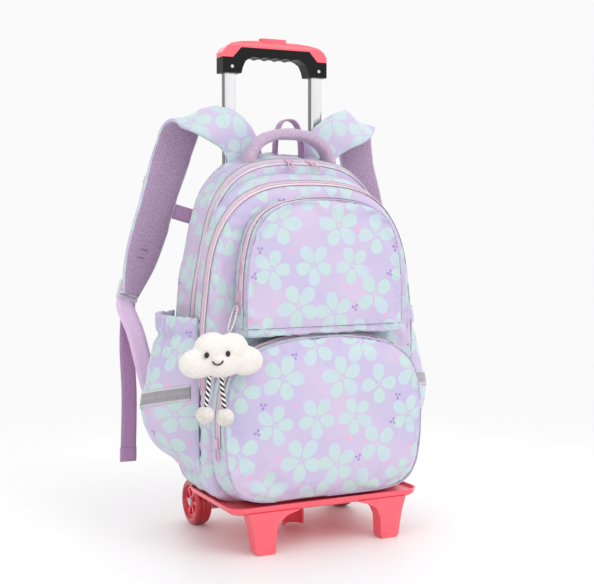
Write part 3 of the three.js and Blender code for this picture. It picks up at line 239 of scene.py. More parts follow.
def studio_light():
    """Light from all round, dimmer from the left and from low down, with an even backdrop for the camera."""
    Node.tree = world.node_tree
    background = Node.tree.nodes["Background"]
    direction = Node(Node.tree.nodes.new("ShaderNodeTexCoord").outputs["Generated"])
    x, y, z = parts_of(direction)
    light = smoothstep(x - y * 0.6, -1.0, 0.7) * LIGHT_FROM_RIGHT + z * LIGHT_FROM_ABOVE + LEAST_LIGHT
    seen = Node(Node.tree.nodes.new("ShaderNodeLightPath").outputs["Is Camera Ray"])
    Node.feed(background.inputs["Strength"], light + seen * (BACKDROP - light))
    background.inputs["Color"].default_value = (1, 1, 1, 1)


studio_light()
LILAC = (188, 180, 212)
LILAC_PINK = (204, 187, 213)
MINT = (187, 208, 208)
MINT_BLUE = (189, 204, 216)
TILE = 0.186

# The print: a generic repeat with petalled flowers, dots and sprigs. across and up are shares of the tile,
# size is in metres and turn in turns. A dot is given by its across and up, a sprig by them and its turn.
FLOWERS = [
    {"across": 0.09, "up": 0.12, "size": 0.0287, "turn": 0.03, "petals": 5},
    {"across": 0.37, "up": 0.06, "size": 0.0263, "turn": 0.12, "petals": 4},
    {"across": 0.66, "up": 0.14, "size": 0.0292, "turn": 0.31, "petals": 5},
    {"across": 0.91, "up": 0.33, "size": 0.0252, "turn": 0.22, "petals": 4},
    {"across": 0.25, "up": 0.35, "size": 0.0298, "turn": 0.45, "petals": 5},
    {"across": 0.56, "up": 0.41, "size": 0.0263, "turn": 0.07, "petals": 5},
    {"across": 0.05, "up": 0.55, "size": 0.0275, "turn": 0.62, "petals": 5},
    {"across": 0.79, "up": 0.60, "size": 0.0292, "turn": 0.77, "petals": 5},
    {"across": 0.36, "up": 0.66, "size": 0.0281, "turn": 0.53, "petals": 4},
    {"across": 0.60, "up": 0.84, "size": 0.0257, "turn": 0.90, "petals": 5},
    {"across": 0.90, "up": 0.87, "size": 0.0269, "turn": 0.15, "petals": 5},
    {"across": 0.19, "up": 0.86, "size": 0.0252, "turn": 0.38, "petals": 5},
]
DOTS = [(0.23, 0.10), (0.51, 0.22), (0.78, 0.42), (0.44, 0.52), (0.14, 0.72), (0.74, 0.96), (0.62, 0.62)]
SPRIGS = [(0.52, 0.97, 0.1), (0.75, 0.28, 0.4), (0.21, 0.58, 0.7), (0.48, 0.80, 0.3)]
DOT_OUTSIDE, DOT_INSIDE, SPRIG_SIZE, SPRIG_LEAVES = 0.0029, 0.0019, 0.0052, 3
DOT_PINK, SPRIG_PURPLE = (243, 160, 190), (140, 118, 182)


def flower_group():
    """Mask of one flower at the origin: petals as egg shapes in equal sectors."""
    group = bpy.data.node_groups.new("flower", "ShaderNodeTree")
    group.interface.new_socket("Place", in_out="INPUT", socket_type="NodeSocketVector")
    for name in ("Turn", "Size", "Sector"):
        group.interface.new_socket(name, in_out="INPUT", socket_type="NodeSocketFloat")
    for name in ("Mask", "Tone"):
        group.interface.new_socket(name, in_out="OUTPUT", socket_type="NodeSocketFloat")
    Node.tree = group
    given = group.nodes.new("NodeGroupInput")
    place_in, turn, size, sector = [Node(given.outputs[i]) for i in range(4)]
    x, y, _ = parts_of(place_in)
    radius = Node.maths("SQRT", x * x + y * y) / size
    angle = Node.maths("ARCTAN2", y, x) + turn
    local = Node.maths("FLOORED_MODULO", angle, sector) - sector * 0.5
    along = radius * Node.maths("COSINE", local)
    across = radius * Node.maths("SINE", local)
    index = Node.maths("FLOOR", angle / sector)
    vary = Node.maths("SINE", index * 2.3 + size * 3000)
    reach = (along - 0.55) / (vary * 0.04 + 0.40)
    broad = across / ((along * 0.5 + 0.58) * (sector * 0.08 + 0.23))
    inside = reach * reach + broad * broad
    petal = smoothstep(inside, 1.08, 0.92)
    heart = smoothstep(radius, 0.1, 0.07)
    out = group.nodes.new("NodeGroupOutput")
    group.links.new(petal.max(heart * 0.6).socket, out.inputs[0])
    group.links.new((along + vary * 0.3).socket, out.inputs[1])
    return group


FLOWER = flower_group()


def vector_maths(operation, *values):
    node = Node.tree.nodes.new("ShaderNodeVectorMath")
    node.operation = operation
    for i, value in enumerate(values):
        if isinstance(value, Node):
            Node.tree.links.new(value.socket, node.inputs[i])
        else:
            node.inputs[i].default_value = value
    return Node(node.outputs["Vector"])


def print_material(name):
    """The flower print on a fine plain weave."""
    made = material(name)
    cloth = cloth_coordinates()
    half = (TILE / 2, TILE / 2, 1.0)
    low = (-TILE / 2, -TILE / 2, -1.0)

    def around(across, up):
        centred = vector_maths("SUBTRACT", cloth, (across * TILE, up * TILE, 0.0))
        return vector_maths("WRAP", centred, half, low)

    def flower(at, turn, size, petals):
        node = Node.tree.nodes.new("ShaderNodeGroup")
        node.node_tree = FLOWER
        Node.feed(node.inputs[0], at)
        node.inputs[1].default_value = turn * 2 * math.pi + 2 * math.pi
        node.inputs[2].default_value = size
        node.inputs[3].default_value = 2 * math.pi / petals
        return Node(node.outputs[0]), Node(node.outputs[1])

    petals, tone = None, None
    for row in FLOWERS:
        mask, inner = flower(around(row["across"], row["up"]), row["turn"], row["size"], row["petals"])
        petals = mask if petals is None else petals.max(mask)
        tone = mask * inner if tone is None else tone.max(mask * inner)
    dots = None
    for across, up in DOTS:
        x, y, _ = parts_of(around(across, up))
        dot = smoothstep(Node.maths("SQRT", x * x + y * y), DOT_OUTSIDE, DOT_INSIDE)
        dots = dot if dots is None else dots.max(dot)
    sprigs = None
    for across, up, turn in SPRIGS:
        mask, _ = flower(around(across, up), turn, SPRIG_SIZE, SPRIG_LEAVES)
        sprigs = mask if sprigs is None else sprigs.max(mask)

    blot = noise_texture(cloth, 9.0, 2.0)
    ground = mix(smoothstep(blot, 0.3, 0.7), LILAC, LILAC_PINK)
    leaf = mix(smoothstep(tone, 0.45, 1.1), MINT, MINT_BLUE)
    colour = mix(petals, ground, leaf)
    colour = mix(dots * 0.75, colour, DOT_PINK)
    colour = mix(sprigs * 0.7, colour, SPRIG_PURPLE)
    x, y, _ = parts_of(cloth)
    weave = stripes(x, 0.0011) * stripes(y, 0.0011) + noise_texture(cloth, 900.0, 1.0) * 0.5
    crinkle = noise_texture(cloth, 34.0, 3.0, 0.55)
    finish_material(colour, weave, 0.12, 0.0004, crinkle, Roughness=0.62, Sheen_Weight=0.25,
                    Sheen_Roughness=0.5, Specular_IOR_Level=0.35)
    return made


print_cloth = print_material("print_cloth")


def plain_cloth(name, light, dark, period=0.0016, rough=0.85, sheen=0.3, strength=0.4):
    """A woven cloth in two near tones with its ribs as bump."""
    made = material(name)
    cloth = cloth_coordinates()
    x, y, _ = parts_of(cloth)
    ribs = stripes(x, period) * stripes(y, period)
    tone = noise_texture(cloth, 260.0, 3.0) * 0.6 + ribs * 0.4
    finish_material(mix(smoothstep(tone, 0.25, 0.75), dark, light), ribs, strength, Roughness=rough,
                    Sheen_Weight=sheen, Specular_IOR_Level=0.25)
    return made


mesh_cloth = plain_cloth("mesh_cloth", (190, 166, 192), (158, 134, 164), period=0.0032, strength=0.7)
heather_cloth = plain_cloth("heather_cloth", (218, 196, 216), (176, 154, 180), period=0.0022, strength=0.6)
webbing_cloth = plain_cloth("webbing_cloth", (246, 220, 246), (226, 196, 228), 0.0021, 0.7, strength=0.6)
# A darker copy of the webbing: on the strap's tail it is painted shade. The chest strap and the hang loop
# wear it too.
webbing_painted_shade = plain_cloth("webbing_painted_shade", (196, 158, 194), (168, 130, 170), 0.0021, 0.7, strength=0.6)
seam_cloth = plain_cloth("seam_cloth", (150, 132, 160), (124, 108, 138), period=0.0012)
piping_cloth = plain_cloth("piping_cloth", (206, 192, 222), (188, 172, 206), period=0.0012)
tape_cloth = plain_cloth("tape_cloth", (242, 226, 234), (228, 208, 220), period=0.0014, rough=0.6)
coil_plastic = plain_cloth("coil_plastic", (236, 212, 222), (208, 182, 196), 0.0018, 0.35, sheen=0.0)
reflective_cloth = plain_cloth("reflective_cloth", (164, 162, 166), (146, 144, 150), 0.0012, 0.35)
reflective_edge = plain_cloth("reflective_edge", (214, 210, 214), (200, 196, 202), period=0.0012, rough=0.6)
plush = plain_cloth("plush", (244, 240, 236), (226, 220, 214), period=0.0012, rough=0.95, sheen=0.4)


STRIPE_PITCH = 0.0062


def striped_cord():
    """Black and white strands twisted round the cord: cloth x runs along it and y round it."""
    made = material("striped_cord")
    x, y, _ = parts_of(cloth_coordinates())
    twist = x * (1 / STRIPE_PITCH) + y * 2.0
    wave = Node.maths("FRACT", twist)
    strand = smoothstep(wave, 0.44, 0.56) * smoothstep(wave, 1.0, 0.9)
    ridge = Node.maths("ABSOLUTE", Node.maths("SINE", twist * (2 * math.pi)))
    finish_material(mix(strand, (24, 24, 28), (244, 242, 238)), ridge, 0.8, 0.0006, Roughness=0.8,
                    Sheen_Weight=0.2)
    return made


cord_cloth = striped_cord()


def moulded(name, colour, rough=0.32, grain=0.04, shine=0.5, **settings):
    """Moulded plastic with a faint grain and slight unevenness in its tone."""
    made = material(name)
    where = object_coordinates()
    tone = noise_texture(where, 22.0, 2.0)
    darker = tuple(c * 0.94 for c in colour)
    finish_material(mix(smoothstep(tone, 0.3, 0.7), darker, colour), noise_texture(where, 900.0, 2.0), grain,
                    0.0004, Roughness=rough, Specular_IOR_Level=shine, **settings)
    return made


coral = moulded("coral_plastic", (252, 98, 112), 0.3, Coat_Weight=0.15, Subsurface_Weight=0.12,
                Subsurface_Radius=(0.01, 0.003, 0.003), Subsurface_Scale=0.3)
hub_red = moulded("hub_plastic", (236, 62, 84), 0.3, Coat_Weight=0.2)
tyre_red = moulded("tyre_plastic", (200, 22, 46), 0.28, Coat_Weight=0.4, Transmission_Weight=0.2)
black_plastic = moulded("black_plastic", (3, 3, 4), 0.38, 0.1, 0.2)
clear_plastic = moulded("clear_plastic", (246, 242, 248), 0.3, Transmission_Weight=0.3)
ink = moulded("ink_plastic", (18, 16, 18), 0.3)
cap_grey = moulded("cap_plastic", (196, 194, 198), 0.35)
pull_pink = moulded("pull_enamel", (222, 186, 206), 0.28, Metallic=0.25, Coat_Weight=0.5)


def brushed_metal(name, colour, rough, groove=0.0, painted_shade=0.0):
    """Drawn metal: fine lines along Z in its bump. The last argument is the strength of painted shade, a dark
    grey, on the faces that look to the left.
    """
    made = material(name)
    where = object_coordinates()
    x, y, z = parts_of(where)
    combine = Node.tree.nodes.new("ShaderNodeCombineXYZ")
    for slot, value in zip(combine.inputs, (x * 900.0, y * 900.0, z * 12.0)):
        Node.feed(slot, value)
    lines = noise_texture(Node(combine.outputs[0]), 1.0, 2.0)
    height = lines * 0.25 + stripes(x, groove) if groove else lines
    tone = mix(smoothstep(lines, 0.3, 0.7), tuple(max(0, c - 14) for c in colour), colour)
    facing = Node(Node.tree.nodes.new("ShaderNodeNewGeometry").outputs["Normal"])
    # Painted shade: faces that look to the left are mixed towards dark grey.
    left = smoothstep(parts_of(facing)[0], -0.35, -0.95) * painted_shade
    tone = mix(left, tone, (46, 46, 48))
    finish_material(tone, height, 0.35, 0.0003, Roughness=rough, Metallic=1.0)
    return made


# The tubes get painted shade on their faces that look to the left.
tube_metal = brushed_metal("tube_metal", (232, 232, 234), 0.2, 0.0034, 0.65)
steel = brushed_metal("steel_metal", (206, 206, 210), 0.25)
chain_metal = brushed_metal("chain_metal", (216, 206, 212), 0.22)


# Mesh building

class Skin:
    """Collects rings of points into one mesh, with cloth coordinates and a material for each band."""

    def __init__(self):
        self.points, self.faces, self.kinds, self.cloth = [], [], [], []

    def ring(self, points):
        first = sum(len(p) for p in self.points)
        self.points.append(np.asarray(points, float))
        return first, len(points)

    def band(self, a, b, kind, cloth_a, cloth_b):
        """Quads between two rings. The cloth rows are one more than the points, and kind is one or a list."""
        count = a[1]
        for i in range(count):
            j = (i + 1) % count
            self.faces.append((a[0] + i, a[0] + j, b[0] + j, b[0] + i))
            self.cloth += [cloth_a[i], cloth_a[i + 1], cloth_b[i + 1], cloth_b[i]]
            self.kinds.append(kind if isinstance(kind, int) else kind[i])

    def fan(self, a, centre, kind, cloth, cloth_centre, outwards=True):
        """Triangles from a ring to one point."""
        tip, _ = self.ring([centre])
        for i in range(a[1]):
            j = (i + 1) % a[1]
            order = (i, j) if outwards else (j, i)
            places = (i, i + 1) if outwards else (i + 1, i)
            self.faces.append((a[0] + order[0], a[0] + order[1], tip))
            self.cloth += [cloth[places[0]], cloth[places[1]], cloth_centre]
            self.kinds.append(kind)

    def build(self, name, materials):
        """The mesh object. Its cloth attribute gives each face corner its place on the cloth in metres."""
        mesh = bpy.data.meshes.new(name)
        scaled = (np.vstack(self.points) + OFFSET) / 1000
        mesh.from_pydata([tuple(p) for p in scaled], [], [tuple(f) for f in self.faces])
        for made in materials:
            mesh.materials.append(made)
        mesh.polygons.foreach_set("material_index", np.asarray(self.kinds, np.int32))
        layer = mesh.attributes.new("cloth", "FLOAT_VECTOR", "CORNER")
        values = np.zeros((len(mesh.loops), 3), np.float32)
        values[:, :2] = np.asarray(self.cloth, float)
        layer.data.foreach_set("vector", values.ravel())
        mesh.polygons.foreach_set("use_smooth", [True] * len(mesh.polygons))
        mesh.update()
        piece = bpy.data.objects.new(name, mesh)
        bpy.context.scene.collection.objects.link(piece)
        turn_outwards(piece)
        return piece


def coordinates(mesh):
    """The places of a mesh's points in metres."""
    co = np.zeros(len(mesh.vertices) * 3)
    mesh.vertices.foreach_get("co", co)
    return co.reshape(-1, 3)


def turn_outwards(piece):
    """Flips a closed mesh whose faces point in."""
    mesh = piece.data
    co = coordinates(mesh)
    volume = 0.0
    for polygon in mesh.polygons:
        v = co[list(polygon.vertices)]
        for k in range(1, len(v) - 1):
            volume += np.dot(v[0], np.cross(v[k], v[k + 1]))
    if volume < 0:
        mesh.flip_normals()


def modifier(piece, kind, **settings):
    made = piece.modifiers.new(kind.lower(), kind)
    for key, value in settings.items():
        setattr(made, key, value)
    return made


def put(piece, body, slot, *nodes):
    """Rides a piece on a body and hides the CAD nodes that it stands for. Its slot is not used."""
    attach(piece, body)
    if nodes:
        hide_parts(*nodes)
    return piece


def catmull(points, t, closed=False):
    """A point of the centripetal Catmull-Rom curve through points, as the CAD source uses it."""
    count = len(points)
    p = (count - (0 if closed else 1)) * t
    i = int(math.floor(p))
    w = p - i
    if closed:
        i += 0 if i > 0 else (abs(i) // count + 1) * count
    elif w == 0 and i == count - 1:
        i, w = count - 2, 1.0
    p1, p2 = points[i % count], points[(i + 1) % count]
    p0 = points[(i - 1) % count] if closed or i > 0 else 2 * points[0] - points[1]
    p3 = points[(i + 2) % count] if closed or i + 2 < count else 2 * points[-1] - points[-2]
    d0, d1, d2 = (np.linalg.norm(b - a) ** 0.5 for a, b in ((p0, p1), (p1, p2), (p2, p3)))
    d1 = d1 if d1 > 1e-4 else 1.0
    d0 = d0 if d0 > 1e-4 else d1
    d2 = d2 if d2 > 1e-4 else d1
    t1 = ((p1 - p0) / d0 - (p2 - p0) / (d0 + d1) + (p2 - p1) / d1) * d1
    t2 = ((p2 - p1) / d1 - (p3 - p1) / (d1 + d2) + (p3 - p2) / d2) * d1
    c2 = -3 * p1 + 3 * p2 - 2 * t1 - t2
    c3 = 2 * p1 - 2 * p2 + t1 + t2
    return p1 + w * (t1 + w * (c2 + w * c3))


def curve_points(points, count, closed=False):
    points = [np.array(p, float) for p in points]
    last = count if closed else count - 1
    return np.array([catmull(points, i / last, closed) for i in range(count)])


def even(points, count, closed=False):
    """A line resampled at even steps."""
    line = np.vstack([points, points[:1]]) if closed else np.asarray(points)
    run = np.concatenate([[0], np.cumsum(np.linalg.norm(np.diff(line, axis=0), axis=1))])
    want = np.linspace(0, run[-1], count + 1)[:-1] if closed else np.linspace(0, run[-1], count)
    return np.stack([np.interp(want, run, line[:, k]) for k in range(line.shape[1])], axis=1)


def unit(v):
    return v / np.linalg.norm(v)


def lengths(line):
    return np.concatenate([[0], np.cumsum(np.linalg.norm(np.diff(line, axis=0), axis=1))]) / 1000


def tube_along(skin, line, radius, sides, kind, closed=False):
    """Adds a round tube along a line to a skin."""
    count = len(line)
    ahead = np.roll(line, -1, 0) - np.roll(line, 1, 0)
    if not closed:
        ahead[0], ahead[-1] = line[1] - line[0], line[-1] - line[-2]
    run = lengths(np.vstack([line, line[:1]]))
    first = last = None
    side = None
    radii = np.full(count, radius) if np.isscalar(radius) else np.asarray(radius, float)
    turns = np.linspace(0, 2 * math.pi, sides + 1)[:-1]
    for i in range(count):
        t = unit(ahead[i])
        if side is None:
            side = unit(np.cross(t, UP if abs(t[2]) < 0.9 else np.array([1.0, 0, 0])))
        side = unit(side - t * np.dot(side, t))
        other = np.cross(t, side)
        ring = skin.ring([line[i] + radii[i] * (math.cos(a) * side + math.sin(a) * other) for a in turns])
        cloth = [(run[i], k / sides) for k in range(sides + 1)]
        if last is not None:
            skin.band(last[0], ring, kind, last[1], cloth)
        else:
            first = (ring, cloth)
        last = (ring, cloth)
    if closed:
        skin.band(last[0], first[0], kind, last[1], first[1])
    else:
        skin.fan(first[0], line[0], kind, first[1], (0, 0), outwards=False)
        skin.fan(last[0], line[-1], kind, last[1], (0, 0))


def swept_band(skin, centres, across, halves, profile, kinds, mirror, thick):
    """Sweeps a profile of (across, face) shares along a line. Each profile edge has its own material."""
    count = len(profile)
    run = lengths(centres)
    rim = [0.0]
    for i in range(count):
        a, b = np.array(profile[i]), np.array(profile[(i + 1) % count])
        edge = (b - a) * np.array([halves[len(halves) // 2], thick])
        rim.append(rim[-1] + float(np.linalg.norm(edge)) / 1000)
    last = None
    for i in range(len(centres)):
        ahead = centres[min(i + 1, len(centres) - 1)] - centres[max(i - 1, 0)]
        along = unit(ahead)
        side = unit(across[i] - along * np.dot(across[i], along))
        face = np.cross(side, along)
        points = [centres[i] + side * u * halves[i] + face * v * thick for u, v in profile]
        points = [p * np.array([mirror, 1, 1]) for p in points]
        ring = skin.ring(points)
        cloth = [(rim[k], run[i]) for k in range(count + 1)]
        if last is not None:
            skin.band(last[0], ring, kinds, last[1], cloth)
        else:
            skin.fan(ring, np.mean(points, 0), kinds[0], cloth, (0, 0), outwards=False)
        last = (ring, cloth)
    skin.fan(last[0], np.mean(points, 0), kinds[0], last[1], (0, 0))


# The bag's compartments

def outline_rows(*pairs):
    return [{"half": half, "rise": rise} for half, rise in pairs]


MAIN_OUTLINE = outline_rows(
    (0, 0), (0.76, 0), (0.9, 0.022), (0.97, 0.065), (1, 0.15), (1, 0.32), (0.994, 0.5), (0.965, 0.612),
    (0.91, 0.71), (0.852, 0.8), (0.78, 0.873), (0.68, 0.925), (0.595, 0.953), (0.455, 0.98), (0.25, 0.996),
    (0, 1))
MIDDLE_OUTLINE = outline_rows(
    (0, 0), (0.76, 0), (0.9, 0.024), (0.97, 0.072), (1, 0.165), (1, 0.35), (0.998, 0.552), (0.972, 0.652),
    (0.945, 0.734), (0.897, 0.81), (0.814, 0.877), (0.697, 0.931), (0.552, 0.967), (0.366, 0.99), (0, 1))
LOWER_OUTLINE = outline_rows(
    (0, 0), (0.68, 0.012), (0.86, 0.06), (0.945, 0.145), (0.985, 0.26), (1, 0.4), (0.997, 0.55), (0.965, 0.7),
    (0.93, 0.775), (0.87, 0.838), (0.73, 0.912), (0.47, 0.972), (0.2, 0.996), (0, 1))
UPPER_OUTLINE = outline_rows(
    (0, 0), (0.5, 0), (0.98, 0), (0.996, 0.005), (1, 0.03), (1, 0.25), (0.99, 0.43), (0.95, 0.62),
    (0.86, 0.795), (0.735, 0.892), (0.54, 0.954), (0.29, 0.988), (0, 1))

# The visible skins. half, height, floor, front and depth are in mm, and bulge is how far the front swells.
# A row of rows is a ring round the side: mm behind the front, and the size and lift of the outline there.
# zip is where the zip runs behind the front, and zip_low the share of the height where it starts. pipe is the
# piping's ring, as in rows, and pipe_low the height in mm from which it shows.
FORMS = {
    "main": {
        "node": "main_compartment", "zip_node": "main_zip", "outline": MAIN_OUTLINE, "half": BAG_HALF,
        "height": BAG_HEIGHT, "floor": BAG_FLOOR, "front": 84, "depth": 64, "bulge": 0,
        "zip": 6.3, "zip_low": 0.34,
        "rows": [(0, 0.972, 0.972), (2, 0.985, 0.973), (6, 0.997, 0.9755), (12, 1.003, 0.979),
                 (20, 1.005, 0.983), (32, 1.004, 0.989), (45, 1.003, 0.995), (56, 1.001, 0.999),
                 (61, 0.997, 1), (63.4, 0.988, 1)],
        "pipe": (62, 0.996, 1.0), "pipe_low": 0,
    },
    "middle": {
        "node": "middle_compartment", "zip_node": "middle_zip", "outline": MIDDLE_OUTLINE, "half": BAG_HALF,
        "height": 390.5, "floor": BAG_FLOOR, "front": 38, "depth": 45.7, "bulge": 0,
        "zip": 14, "zip_low": 0.34,
        "rows": [(0, 0.948, 0.985), (1.5, 0.967, 0.987), (5, 0.985, 0.991), (9, 0.996, 0.996),
                 (14, 1.002, 1.001), (20, 1.005, 1.006), (30, 1.004, 1.018), (39, 1.001, 1.031),
                 (43, 0.996, 1.036), (45.4, 0.986, 1.036)],
        "pipe": None, "pipe_low": 0,
    },
    "upper": {
        "node": "upper_pocket", "zip_node": "upper_zip", "outline": UPPER_OUTLINE, "half": 108,
        "height": 165.5, "floor": 262, "front": 1.5, "depth": 36.2, "bulge": 5.0, "zip": 18.5, "zip_low": 0.2,
        "rows": [(5, 0.975, 1), (6.2, 0.99, 1), (9.5, 1.0, 1), (13, 1.004, 1), (19, 1.006, 1),
                 (26, 1.008, 1), (32, 1.011, 1), (36, 1.014, 1)],
        "pipe": (5.4, 0.984, 1.0), "pipe_low": 10,
    },
    "lower": {
        "node": "lower_pocket", "zip_node": "lower_zip", "outline": LOWER_OUTLINE, "half": 137, "height": 200,
        "floor": 60.5, "front": 0, "depth": 37.7, "bulge": 5.5, "zip": 20, "zip_low": 0.34,
        "rows": [(5.5, 0.975, 1), (6.7, 0.99, 1), (10, 1.0, 1), (14, 1.004, 1), (20, 1.009, 1),
                 (28, 1.017, 1), (34, 1.024, 1), (37.4, 1.028, 1)],
        "pipe": (5.9, 0.984, 1.0), "pipe_low": 0,
    },
}
AROUND = 220
CLOTH_DEPTH = 20
ZIP_HALF = 5.7
COIL_RADIUS = 0.95
SIDE_STEP = 3.5
SEAM_RADIUS = 0.45
PIPING_RADIUS = 0.8


class Form:
    """A compartment's smooth outline at any depth."""

    def __init__(self, given):
        self.given = given
        rows = [(r["half"] * given["half"], r["rise"] * given["height"]) for r in given["outline"]]
        loop = rows + [(-x, z) for x, z in rows[1:-1][::-1]]
        dense = curve_points(loop, 900, closed=True)
        self.flat = even(dense, AROUND, closed=True)
        self.rows = given["rows"]

    def values(self, y):
        ys = [r[0] for r in self.rows]
        return (float(np.interp(y, ys, [r[1] for r in self.rows])),
                float(np.interp(y, ys, [r[2] for r in self.rows])))

    def ring(self, y, size=None, lift=None, offset=0.0, share=1.0):
        """The outline y mm behind the front, shrunk towards its middle by share."""
        if size is None:
            size, lift = self.values(y)
        middle = self.given["height"] / 2
        x = self.flat[:, 0] * size * share
        z = middle + (self.flat[:, 1] - middle) * size
        z = self.given["floor"] + z * lift
        centre = self.given["floor"] + middle * lift
        z = centre + (z - centre) * share
        if offset:
            along = np.roll(np.stack([x, z], 1), -1, 0) - np.roll(np.stack([x, z], 1), 1, 0)
            along /= np.linalg.norm(along, axis=1)[:, None]
            x, z = x + along[:, 1] * offset, z - along[:, 0] * offset
        return np.stack([x, np.full(len(x), self.given["front"] + y), z], 1)

    def run(self):
        """The length along the outline, at the depth where the cloth of the side is measured."""
        ring = self.ring(CLOTH_DEPTH)
        return lengths(np.vstack([ring, ring[:1]]))


forms = {name: Form(given) for name, given in FORMS.items()}


def front_cloth(ring):
    closed = np.vstack([ring, ring[:1]])
    return np.stack([closed[:, 0], closed[:, 2]], 1) / 1000


def front_face(skin, rings):
    """Covers a front from a fan at its middle outwards, and returns the last ring with its cloth."""
    last = None
    for points in rings:
        ring, cloth = skin.ring(points), front_cloth(points)
        if last is None:
            centre = points.mean(0)
            skin.fan(ring, centre, 0, cloth, (centre[0] / 1000, centre[2] / 1000), outwards=False)
        else:
            skin.band(last[0], ring, 0, last[1], cloth)
        last = (ring, cloth)
    return last


def swell(given, share):
    """How far the front stands ahead of its edge, at a share of the way out from its middle."""
    return given["bulge"] * (1 - share ** 3.2)


def compartment_piece(name):
    """A compartment's skin: its front, its side along the depth profile, and a flat back."""
    form, given = forms[name], FORMS[name]
    skin = Skin()
    edge_y, edge_size, edge_lift = given["rows"][0]
    shares = list(np.linspace(0.05, 0.9, 18)) + [0.93, 0.955, 0.975, 0.99, 1.0]
    edge, _ = front_face(skin, [form.ring(edge_y - swell(given, share), edge_size, edge_lift, share=share)
                                for share in shares])
    run = form.run()
    ys = []
    for (y0, _, _), (y1, _, _) in zip(given["rows"], given["rows"][1:]):
        steps = max(1, int(round((y1 - y0) / SIDE_STEP)))
        ys += [y0 + (y1 - y0) * i / steps for i in range(steps)]
    ys.append(given["rows"][-1][0])
    side = None
    for y in ys:
        points = form.ring(y)
        ring = edge if side is None else skin.ring(points)
        cloth = np.stack([run, np.full(len(run), y / 1000)], 1)
        if side is not None:
            skin.band(side[0], ring, 0, side[1], cloth)
        side = (ring, cloth)
    points = form.ring(ys[-1])
    centre = points.mean(0)
    skin.fan(side[0], centre, 0, front_cloth(points), (centre[0] / 1000, centre[2] / 1000))
    return skin.build(given["node"] + "_cloth", [print_cloth])


def displace(piece, height):
    """Moves each point along its normal by height(point in mm), in mm."""
    mesh = piece.data
    co = coordinates(mesh)
    normals = np.zeros(co.size)
    mesh.vertex_normals.foreach_get("vector", normals)
    normals = normals.reshape(-1, 3)
    moved = np.array([height(p) for p in co * 1000 - OFFSET]) / 1000
    mesh.vertices.foreach_set("co", (co + normals * moved[:, None]).ravel())
    mesh.update()


def ripple(p, scale, seed):
    """Soft noise of about -1 to 1 at a length scale in mm, one for each axis."""
    return noise.noise(Vector((p[0] / scale[0] + seed, p[1] / scale[1], p[2] / scale[2])))


def fold(p, scale, seed):
    """Creases: sharp valleys between broad swells, 0 to 1."""
    return abs(ripple(p, scale, seed))


def cloth_height(given):
    """The folds of a compartment: broad swells, and creases on its sides that fade near the zip and at the
    back edge.
    """
    front, depth = given["front"], given["depth"]
    zip_y = front + given["zip"]

    def height(p):
        side = 0.0 if p[1] < front + given["rows"][0][0] + 1 else 1.0
        calm = min(1.0, abs(p[1] - zip_y) / 16) if side else 1.0
        swell = 1.5 * ripple(p, (60, 60, 70), 3.1) + 0.7 * ripple(p, (26, 26, 30), 8.7)
        crease = 1.6 * fold(p, (70, 24, 45), 5.3) + 0.9 * fold(p, (22, 60, 22), 1.9)
        edge = front + depth - p[1]
        keep = min(1.0, edge / 6) if edge < 6 else 1.0
        if side:
            return (swell * 0.8 + crease - 1.1) * calm * keep
        return swell * 0.55 + 0.5 * fold(p, (50, 50, 38), 2.2) - 0.3

    return height


# The cloth pass: the frames it runs for, how much the cloth shrinks (below 0 it grows), and how far a point
# may move in mm
SETTLE_FRAMES, SETTLE_SHRINK, SETTLE_REACH = 16, -0.035, 3.2
SETTLE_CLOTH = {
    "quality": 4, "mass": 0.15, "tension_stiffness": 30, "compression_stiffness": 30, "shear_stiffness": 15,
    "bending_stiffness": 0.05, "use_pressure": True, "uniform_pressure_force": 0.6,
    "shrink_min": SETTLE_SHRINK, "vertex_group_mass": "seams",
}


def settle(piece, held):
    """Lets the cloth grow a little and buckle between the points held by its seams."""
    mesh = piece.data
    before = coordinates(mesh)
    seams = piece.vertex_groups.new(name="seams")
    seams.add([i for i, p in enumerate(before * 1000 - OFFSET) if held(p)], 1.0, "REPLACE")
    cloth = piece.modifiers.new("cloth", "CLOTH")
    for key, value in SETTLE_CLOTH.items():
        setattr(cloth.settings, key, value)
    cloth.settings.effector_weights.gravity = 0
    cloth.collision_settings.use_collision = False
    cloth.point_cache.frame_end = SETTLE_FRAMES
    for moment in range(1, SETTLE_FRAMES + 1):
        bpy.context.scene.frame_set(moment)
    graph = bpy.context.evaluated_depsgraph_get()
    move = coordinates(piece.evaluated_get(graph).data) - before
    size = np.linalg.norm(move, axis=1)[:, None]
    move *= np.minimum(1.0, SETTLE_REACH / 1000 / np.maximum(size, 1e-9))
    piece.modifiers.clear()
    piece.vertex_groups.clear()
    mesh.vertices.foreach_set("co", (before + move).ravel())
    mesh.update()
    bpy.context.scene.frame_set(1)


def held_by_seams(given):
    """Points that a seam or a zip holds: the front edge, the zip's band, the foot and the back."""
    edge_y = given["front"] + given["rows"][0][0]
    zip_y = given["front"] + given["zip"]
    back = given["front"] + given["depth"]

    def held(p):
        return abs(p[1] - edge_y) < 0.4 or abs(p[1] - zip_y) < ZIP_HALF + 1 or p[1] > back - 3 or p[2] < 62

    return held


for name, given in FORMS.items():
    piece = compartment_piece(name)
    displace(piece, cloth_height(given))
    settle(piece, held_by_seams(given))
    put(piece, "bag", "print", given["node"])


TAPE_CLOTH = [0, 0.0114, 0.0126, 0.024, 0.0252]


def strip_along(skin, outer, inner, run):
    """Adds a closed flat band: its outer face lies between two lines, its inner face between two more."""
    lines = [outer[0], outer[1], inner[1], inner[0]]
    rings = [skin.ring([line[i] for line in lines]) for i in range(len(run))]
    for i in range(len(rings) - 1):
        a = [(run[i], w) for w in TAPE_CLOTH]
        b = [(run[i + 1], w) for w in TAPE_CLOTH]
        skin.band(rings[i], rings[i + 1], 0, a, b)
    ends = [(0, 0)] * len(TAPE_CLOTH)
    skin.fan(rings[0], np.mean([line[0] for line in lines], 0), 0, ends, (0, 0), outwards=False)
    skin.fan(rings[-1], np.mean([line[-1] for line in lines], 0), 0, ends, (0, 0))


